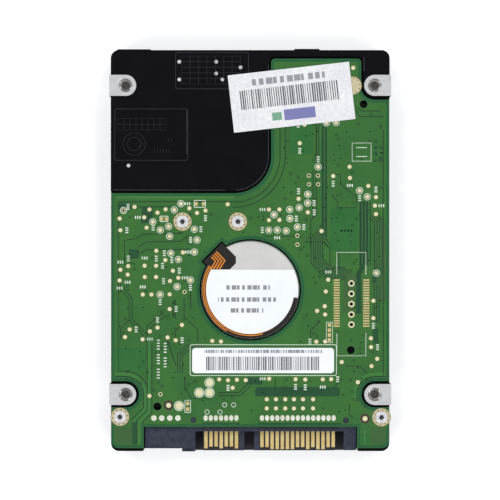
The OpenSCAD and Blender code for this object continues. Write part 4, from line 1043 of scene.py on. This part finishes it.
# places that strokes and small vias keep away from: a round place with its reach, or a box, mm
boardHoles = [(-23.05, -38.65), (25.0, -24.65), (28.15, 36.4), (-20.25, -38.35), (28.5, -41.65)]
screwPlaces = [(-16.8, 7.25), (-3.05, 7.25), (-32.3, -41.2), (32.55, -41.3), (25.4, 41.0)]
smallPlaces = plainPads + ringedPads + pairs + vias["places"] + smallRings
clearance = {
    "boxes": [(-15.6, -31.4, 22.2, -22.9), (-40.0, 11.8, 6.2, 60.0)],
    "round": [([spindle], 14.4), ([deckCorner], 12.2), (screwPlaces + lugPlaces, 2.8), (smallPlaces, 1.15),
              (boardHoles + bigPads, 1.9)],
    "low": (-32.9, -39.9), "high": (32.6, 36),
}


def clearOfParts(x, y):
    lowX, lowY = clearance["low"]
    highX, highY = clearance["high"]
    if x < lowX or x > highX or y < lowY or y > highY:
        return False
    if any(x0 < x < x1 and y0 < y < y1 for x0, y0, x1, y1 in clearance["boxes"]):
        return False
    return all(math.hypot(x - a, y - b) > reach for places, reach in clearance["round"] for a, b in places)


random.seed(7)
strokes = []
for x, y in plainPads + ringedPads:
    inSolderRows = 2.5 < x < 17 and -40 < y < -36
    if inSolderRows or random.random() < silk["skipped"]:
        continue
    for dx, dy in random.sample(silk["besides"], len(silk["besides"])):
        spot = (x + dx, y + dy)
        apart = all(math.hypot(spot[0] - a, spot[1] - b) > silk["apart"] for a, b, _ in strokes)
        if clearOfParts(*spot) and apart:
            strokes.append((*spot, random.choice((0, 90, 90))))
            break
stems = []
for x, y, turn in strokes:
    for k in range(3):
        step, aimed = (k - 1) * silk["strokeStep"], math.radians(turn)
        stems.append((x + step * math.cos(aimed), y + step * math.sin(aimed), turn))
for x, high, low in silk["runs"]:
    inked = [k for k in range(int((high - low) / silk["runStep"])) if (k + 1) % silk["runGroup"]]
    stems += [(x, high - silk["runStep"] * k, 90) for k in inked]
stroke = smallPad(*silk["strokeHalf"], boardTop + silk["strokeHeight"])
finished(scatter(stroke, stems), "silkStrokes", "silkInk")

# tiny vias scattered over the free copper
tinyVias = {"count": 220, "apart": 0.9, "spanX": (-32.5, 32.5), "spanY": (-40, 36), "height": 0.018,
            "radius": 0.17, "ring": (0.26, 0.38)}
dots = []
while len(dots) < tinyVias["count"]:
    x, y = random.uniform(*tinyVias["spanX"]), random.uniform(*tinyVias["spanY"])
    if clearOfParts(x, y) and all(math.hypot(x - a, y - b) > tinyVias["apart"] for a, b in dots):
        dots.append((x, y))
tinyTop = boardTop + tinyVias["height"]
# half the tiny vias get a dark disc: painted shade in the hole
pricks = scatter(disc(tinyVias["radius"], boardBase, tinyTop, 10), dots[::2])
finished(pricks, "tinyVias", "holeDark")
rings = scatter(flatRing(*tinyVias["ring"], boardBase, tinyTop, 16), dots[1::2])
finished(rings, "ringVias", "trackGreen")

# solder: a collar round every connector tail, mm
solder = {
    "tailY": -41.5, "signalX": -11.05, "powerX": 2.93, "pitch": 1.27,
    "signalCount": 7, "powerCount": 15, "jumperX": (-23.9, -21.95, -19.95, -17.95), "rise": 0.11,
    "collar": (0.34, 0.2, 1.36), "roundCollar": (0.48, 0.22, 1.0), "tip": 0.24, "tipHeight": 0.06,
    "tipEased": 0.02,
}


def collar(ringRadius, wall, stretch):
    clear()
    bpy.ops.mesh.primitive_torus_add(major_segments=20, minor_segments=8, major_radius=ringRadius * mm,
                                     minor_radius=wall * mm, location=(0, 0, boardTop * mm))
    piece = bpy.context.object
    piece.scale = (1, stretch, solder["rise"] / wall)
    return settle(piece)


ovals = [(solder["signalX"] + i * solder["pitch"], solder["tailY"]) for i in range(solder["signalCount"])]
ovals += [(solder["powerX"] + i * solder["pitch"], solder["tailY"]) for i in range(solder["powerCount"])]
jumpers = [(x, solder["tailY"]) for x in solder["jumperX"]]
collars = scatter(collar(*solder["collar"]), ovals)
rounds = scatter(collar(*solder["roundCollar"]), jumpers)
tip = disc(solder["tip"], boardBase, boardTop + solder["tipHeight"], 14, solder["tipEased"])
tips = scatter(tip, ovals + jumpers)
finished(tips, "tailTips", "screwSteel")
finished(joined([collars, rounds]), "solderCollars", "solderTin")
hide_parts("solder_joints")

# plated lands under the board screws, each with a circle of tiny vias, and one land left empty, mm
lands = {
    "screws": screwPlaces[:4], "empty": screwPlaces[4:], "radius": 2.22, "hole": 0.95, "height": 0.03,
    "eased": 0.02,
    "edge": 0.13, "edgeHeight": 0.02, "viaReach": 1.86, "viaCount": 10, "viaRadius": 0.16, "viaHeight": 0.04,
}
landTop = boardTop + lands["height"]
under = scatter(flatRing(lands["hole"], lands["radius"], boardBase, landTop, 40), lands["screws"])
blank = scatter(disc(lands["radius"], boardBase, landTop, 40, lands["eased"]), lands["empty"])
finished(joined([under, blank]), "screwLands", "landCream")
outer = lands["radius"] + lands["edge"]
edge = flatRing(lands["radius"], outer, boardBase, boardTop + lands["edgeHeight"], 40)
finished(scatter(edge, screwPlaces), "landEdges", "padFringe")
rim = []
for place in screwPlaces:
    rim += arc(place, lands["viaReach"], 10, 370, lands["viaCount"])[:-1]
landVia = disc(lands["viaRadius"], boardBase, boardTop + lands["viaHeight"], 10)
finished(scatter(landVia, rim), "landVias", "padFringe")


lobeRound = 0.16  # rounding of a socket's lobes, as a share of its radius


# a pan head screw with a six lobed socket, head up at the origin, mm
def screw(look):
    clear()
    bpy.ops.mesh.primitive_cylinder_add(vertices=40, radius=look["head"] * mm, depth=look["height"] * mm,
                                        location=(0, 0, look["height"] / 2 * mm))
    piece = settle(bpy.context.object)
    top = look["height"]
    pick(piece, "EDGE", lambda a, b: a.z > top - heightSlack and b.z > top - heightSlack)
    bpy.ops.mesh.bevel(offset=look["dome"] * mm, segments=4, affect="EDGES")
    done(piece)
    pick(piece, "FACE", lambda middle, normal: normal.z < -0.9)
    bpy.ops.mesh.inset(thickness=(look["head"] - look["shank"]) * mm, depth=0)
    bpy.ops.mesh.extrude_region_move(TRANSFORM_OT_translate={"value": (0, 0, -look["length"] * mm)})
    done(piece)
    clear()
    bpy.ops.mesh.primitive_cylinder_add(vertices=12, radius=look["socket"] * mm,
                                        depth=look["depth"] * 2 * mm, location=(0, 0, top * mm))
    cutter = settle(bpy.context.object)
    pick(cutter, "VERT", lambda point: round(math.degrees(math.atan2(point.y, point.x)) / 30) % 2)
    bpy.ops.transform.resize(value=(look["lobe"], look["lobe"], 1), center_override=(0, 0, 0))
    done(cutter)
    pick(cutter, "EDGE", lambda a, b: abs(a.z - b.z) > heightSlack)
    bpy.ops.mesh.bevel(offset=look["socket"] * lobeRound * mm, segments=2, affect="EDGES")
    done(cutter)
    cutAway(piece, cutter, "socket")
    piece.data.materials.clear()
    piece.data.materials.append(finishes["screwSteel"])
    piece.data.materials.append(finishes["socketShade"])
    # faces inside the socket get the darker finish: painted shade in the recess
    for face in piece.data.polygons:
        middle = face.center / mm
        inSocket = math.hypot(middle.x, middle.y) < look["socket"] * 1.02 and 0 < middle.z < top - 0.02
        face.material_index = 1 if inSocket else 0
    return piece


def lifted(piece, level, flipped=False):
    if flipped:
        piece.rotation_euler.x = math.pi
    piece.location.z = level * mm
    return settle(piece)


boardScrew = {
    "head": 1.5, "height": 0.45, "dome": 0.2, "shank": 0.8, "length": 2.6, "socket": 0.74, "lobe": 0.7,
    "depth": 0.34, "lift": 0.005,
}
screws = scatter(lifted(screw(boardScrew), boardTop + boardScrew["lift"]), lands["screws"])
finished(screws, "boardScrewSet", None)
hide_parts("board_screws")

coverScrew = {
    "head": 1.6, "height": 0.6, "dome": 0.22, "shank": 0.95, "length": 3.9, "socket": 0.95, "lobe": 0.74,
    "depth": 0.35,
}
coverScrews = {
    "level": 0.78, "pivot": (-13.0, 26.5), "pivotLength": 3.3,
    "places": [(-31.2, 46.6), (31.2, 46.6), (-31.6, 10.6), (31.6, 10.6), (-31.2, -46.3), (31.2, -46.3)],
}
heads = scatter(lifted(screw(coverScrew), coverScrews["level"], True), coverScrews["places"])
pivotScrew = screw({**coverScrew, "length": coverScrews["pivotLength"]})
pivotHead = scatter(lifted(pivotScrew, coverScrews["level"], True), [coverScrews["pivot"]])
heads = joined([heads, pivotHead])
finished(heads, "coverScrewSet", None)
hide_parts("cover_screws")

# connector shell and contacts with eased edges, and the pressed cover
shellLook = {"edge": 0.06, "low": (-13.6, -60.0, -1.0), "high": (23.2, -44.9, 6.6), "keyWall": (-2.7, 2.35)}
shell = eased("connector_housing", shellLook["edge"])
shell.data.materials[0] = finishes["connectorPlastic"]
shell.data.materials.append(finishes["connectorDark"])
# faces inside the recess, but for the key wall, get the darker plastic: painted shade
for face in shell.data.polygons:
    centre = face.center / mm
    onWall = shellLook["keyWall"][0] < centre.x < shellLook["keyWall"][1]
    inRecess = all(low < at < high for low, at, high in zip(shellLook["low"], centre, shellLook["high"]))
    face.material_index = 1 if inRecess and not onWall else 0
finished(shell, "connectorShell", None)
easedNodes = [
    ("signal_contacts", 0.04, "signalBlades", "contactGold", "contact_gold"),
    ("power_contacts", 0.04, "powerBlades", "contactGold", "contact_gold"),
    ("jumper_pins", 0.05, "optionPins", "contactGold", "contact_gold"),
    ("top_cover", 0.09, "coverPanel", "coverSheet", "cover_sheet"),
]
for node, edge, name, look, slot in easedNodes:
    finished(eased(node, edge), name, look)

# copper tracks that show at the motor cable's end, mm
tail = {
    "width": 0.34, "turnWidth": 0.22, "height": 0.02, "count": 4, "filmThickness": 0.08,
    "outer": [(-8.4, -0.2), (-6.3, -2.4), (-7.6, -4.5)],
    "inner": [(-9.65, -1.55), (-8.6, -2.6), (-9.8, -4.5)],
    "turns": [(10.92, 151, 301), (11.34, 150, 286), (11.76, 149, 240)],
}
level = plateTop + tail["filmThickness"]
lines = []
for k in range(tail["count"]):
    share = k / (tail["count"] - 1)
    lines.append([tuple(Vector(a).lerp(Vector(b), share)) for a, b in zip(tail["outer"], tail["inner"])])
rounds = [arc(spindle, reach, start, end, 44) for reach, start, end in tail["turns"]]
straights = ridges(lines, tail["width"], tail["height"], level)
turned = ridges(rounds, tail["turnWidth"], tail["height"], level)
finished(joined([straights, turned]), "motorCableTracks", "flexCopper")

# the head cable, a merged copy of its CAD shape in amber film
cable = eased("head_flex", 0.0)
cable.name = "headCable"
cable.data.name = "headCable"
cable.data.materials[0] = finishes["amberFilm"]
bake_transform(cable)
print("made headCable")

# floor, light and camera; the camera looks straight down
stage = {
    "floorSize": 4.0, "floorLevel": -0.00002, "floorGlow": 0.3,
    "lampPower": 4.7, "lampReach": 0.95, "lampHeight": 0.8, "lampSize": 0.7,
    "lampTurns": (45, 135, 225, 315),
    "skyTone": (0.9, 0.92, 0.95), "skyPower": 0.42, "lens": 120.0, "sensor": 36.0, "viewWidth": 124.07,
    "centreX": -0.05, "centreY": 0.2,
}
clear()
bpy.ops.mesh.primitive_plane_add(size=stage["floorSize"], location=(0, 0, stage["floorLevel"]))
floor = settle(bpy.context.object)
floor.name = "floor"
floorLook = twoTone(
    (250, 250, 250), (246, 246, 247), (0.6, 0.75), grain=1.0, cloud=60.0, depth=0.005, specular=0.2)
floor.data.materials.append(makeFinish("paleFloor", floorLook))
floorShader = floor.data.materials[0].node_tree.nodes["Principled BSDF"]
floorShader.inputs["Emission Color"].default_value = (1, 1, 1, 1)
floorShader.inputs["Emission Strength"].default_value = stage["floorGlow"]

for turn in stage["lampTurns"]:
    a = math.radians(turn)
    spot = Vector((math.cos(a) * stage["lampReach"], math.sin(a) * stage["lampReach"], stage["lampHeight"]))
    bpy.ops.object.light_add(type="AREA", location=spot)
    lamp = bpy.context.object
    lamp.data.energy = stage["lampPower"]
    lamp.data.size = stage["lampSize"]
    lamp.rotation_euler = (-spot).to_track_quat("-Z", "Y").to_euler()

world = bpy.data.worlds.new("studio")
bpy.context.scene.world = world
world.use_nodes = True
sky = world.node_tree.nodes["Background"]
sky.inputs["Color"].default_value = (*stage["skyTone"], 1)
sky.inputs["Strength"].default_value = stage["skyPower"]

distance = stage["viewWidth"] * mm / 2 / (stage["sensor"] / 2 / stage["lens"])
bpy.ops.object.camera_add(location=(stage["centreX"] * mm, stage["centreY"] * mm, boardTop * mm + distance))
camera = bpy.context.object
camera.data.lens = stage["lens"]
camera.data.sensor_width = stage["sensor"]
camera.data.clip_start = 0.01
bpy.context.scene.camera = camera
bpy.context.scene.view_settings.view_transform = "Standard"
print("stage set, camera", round(distance, 3), "m above the board")
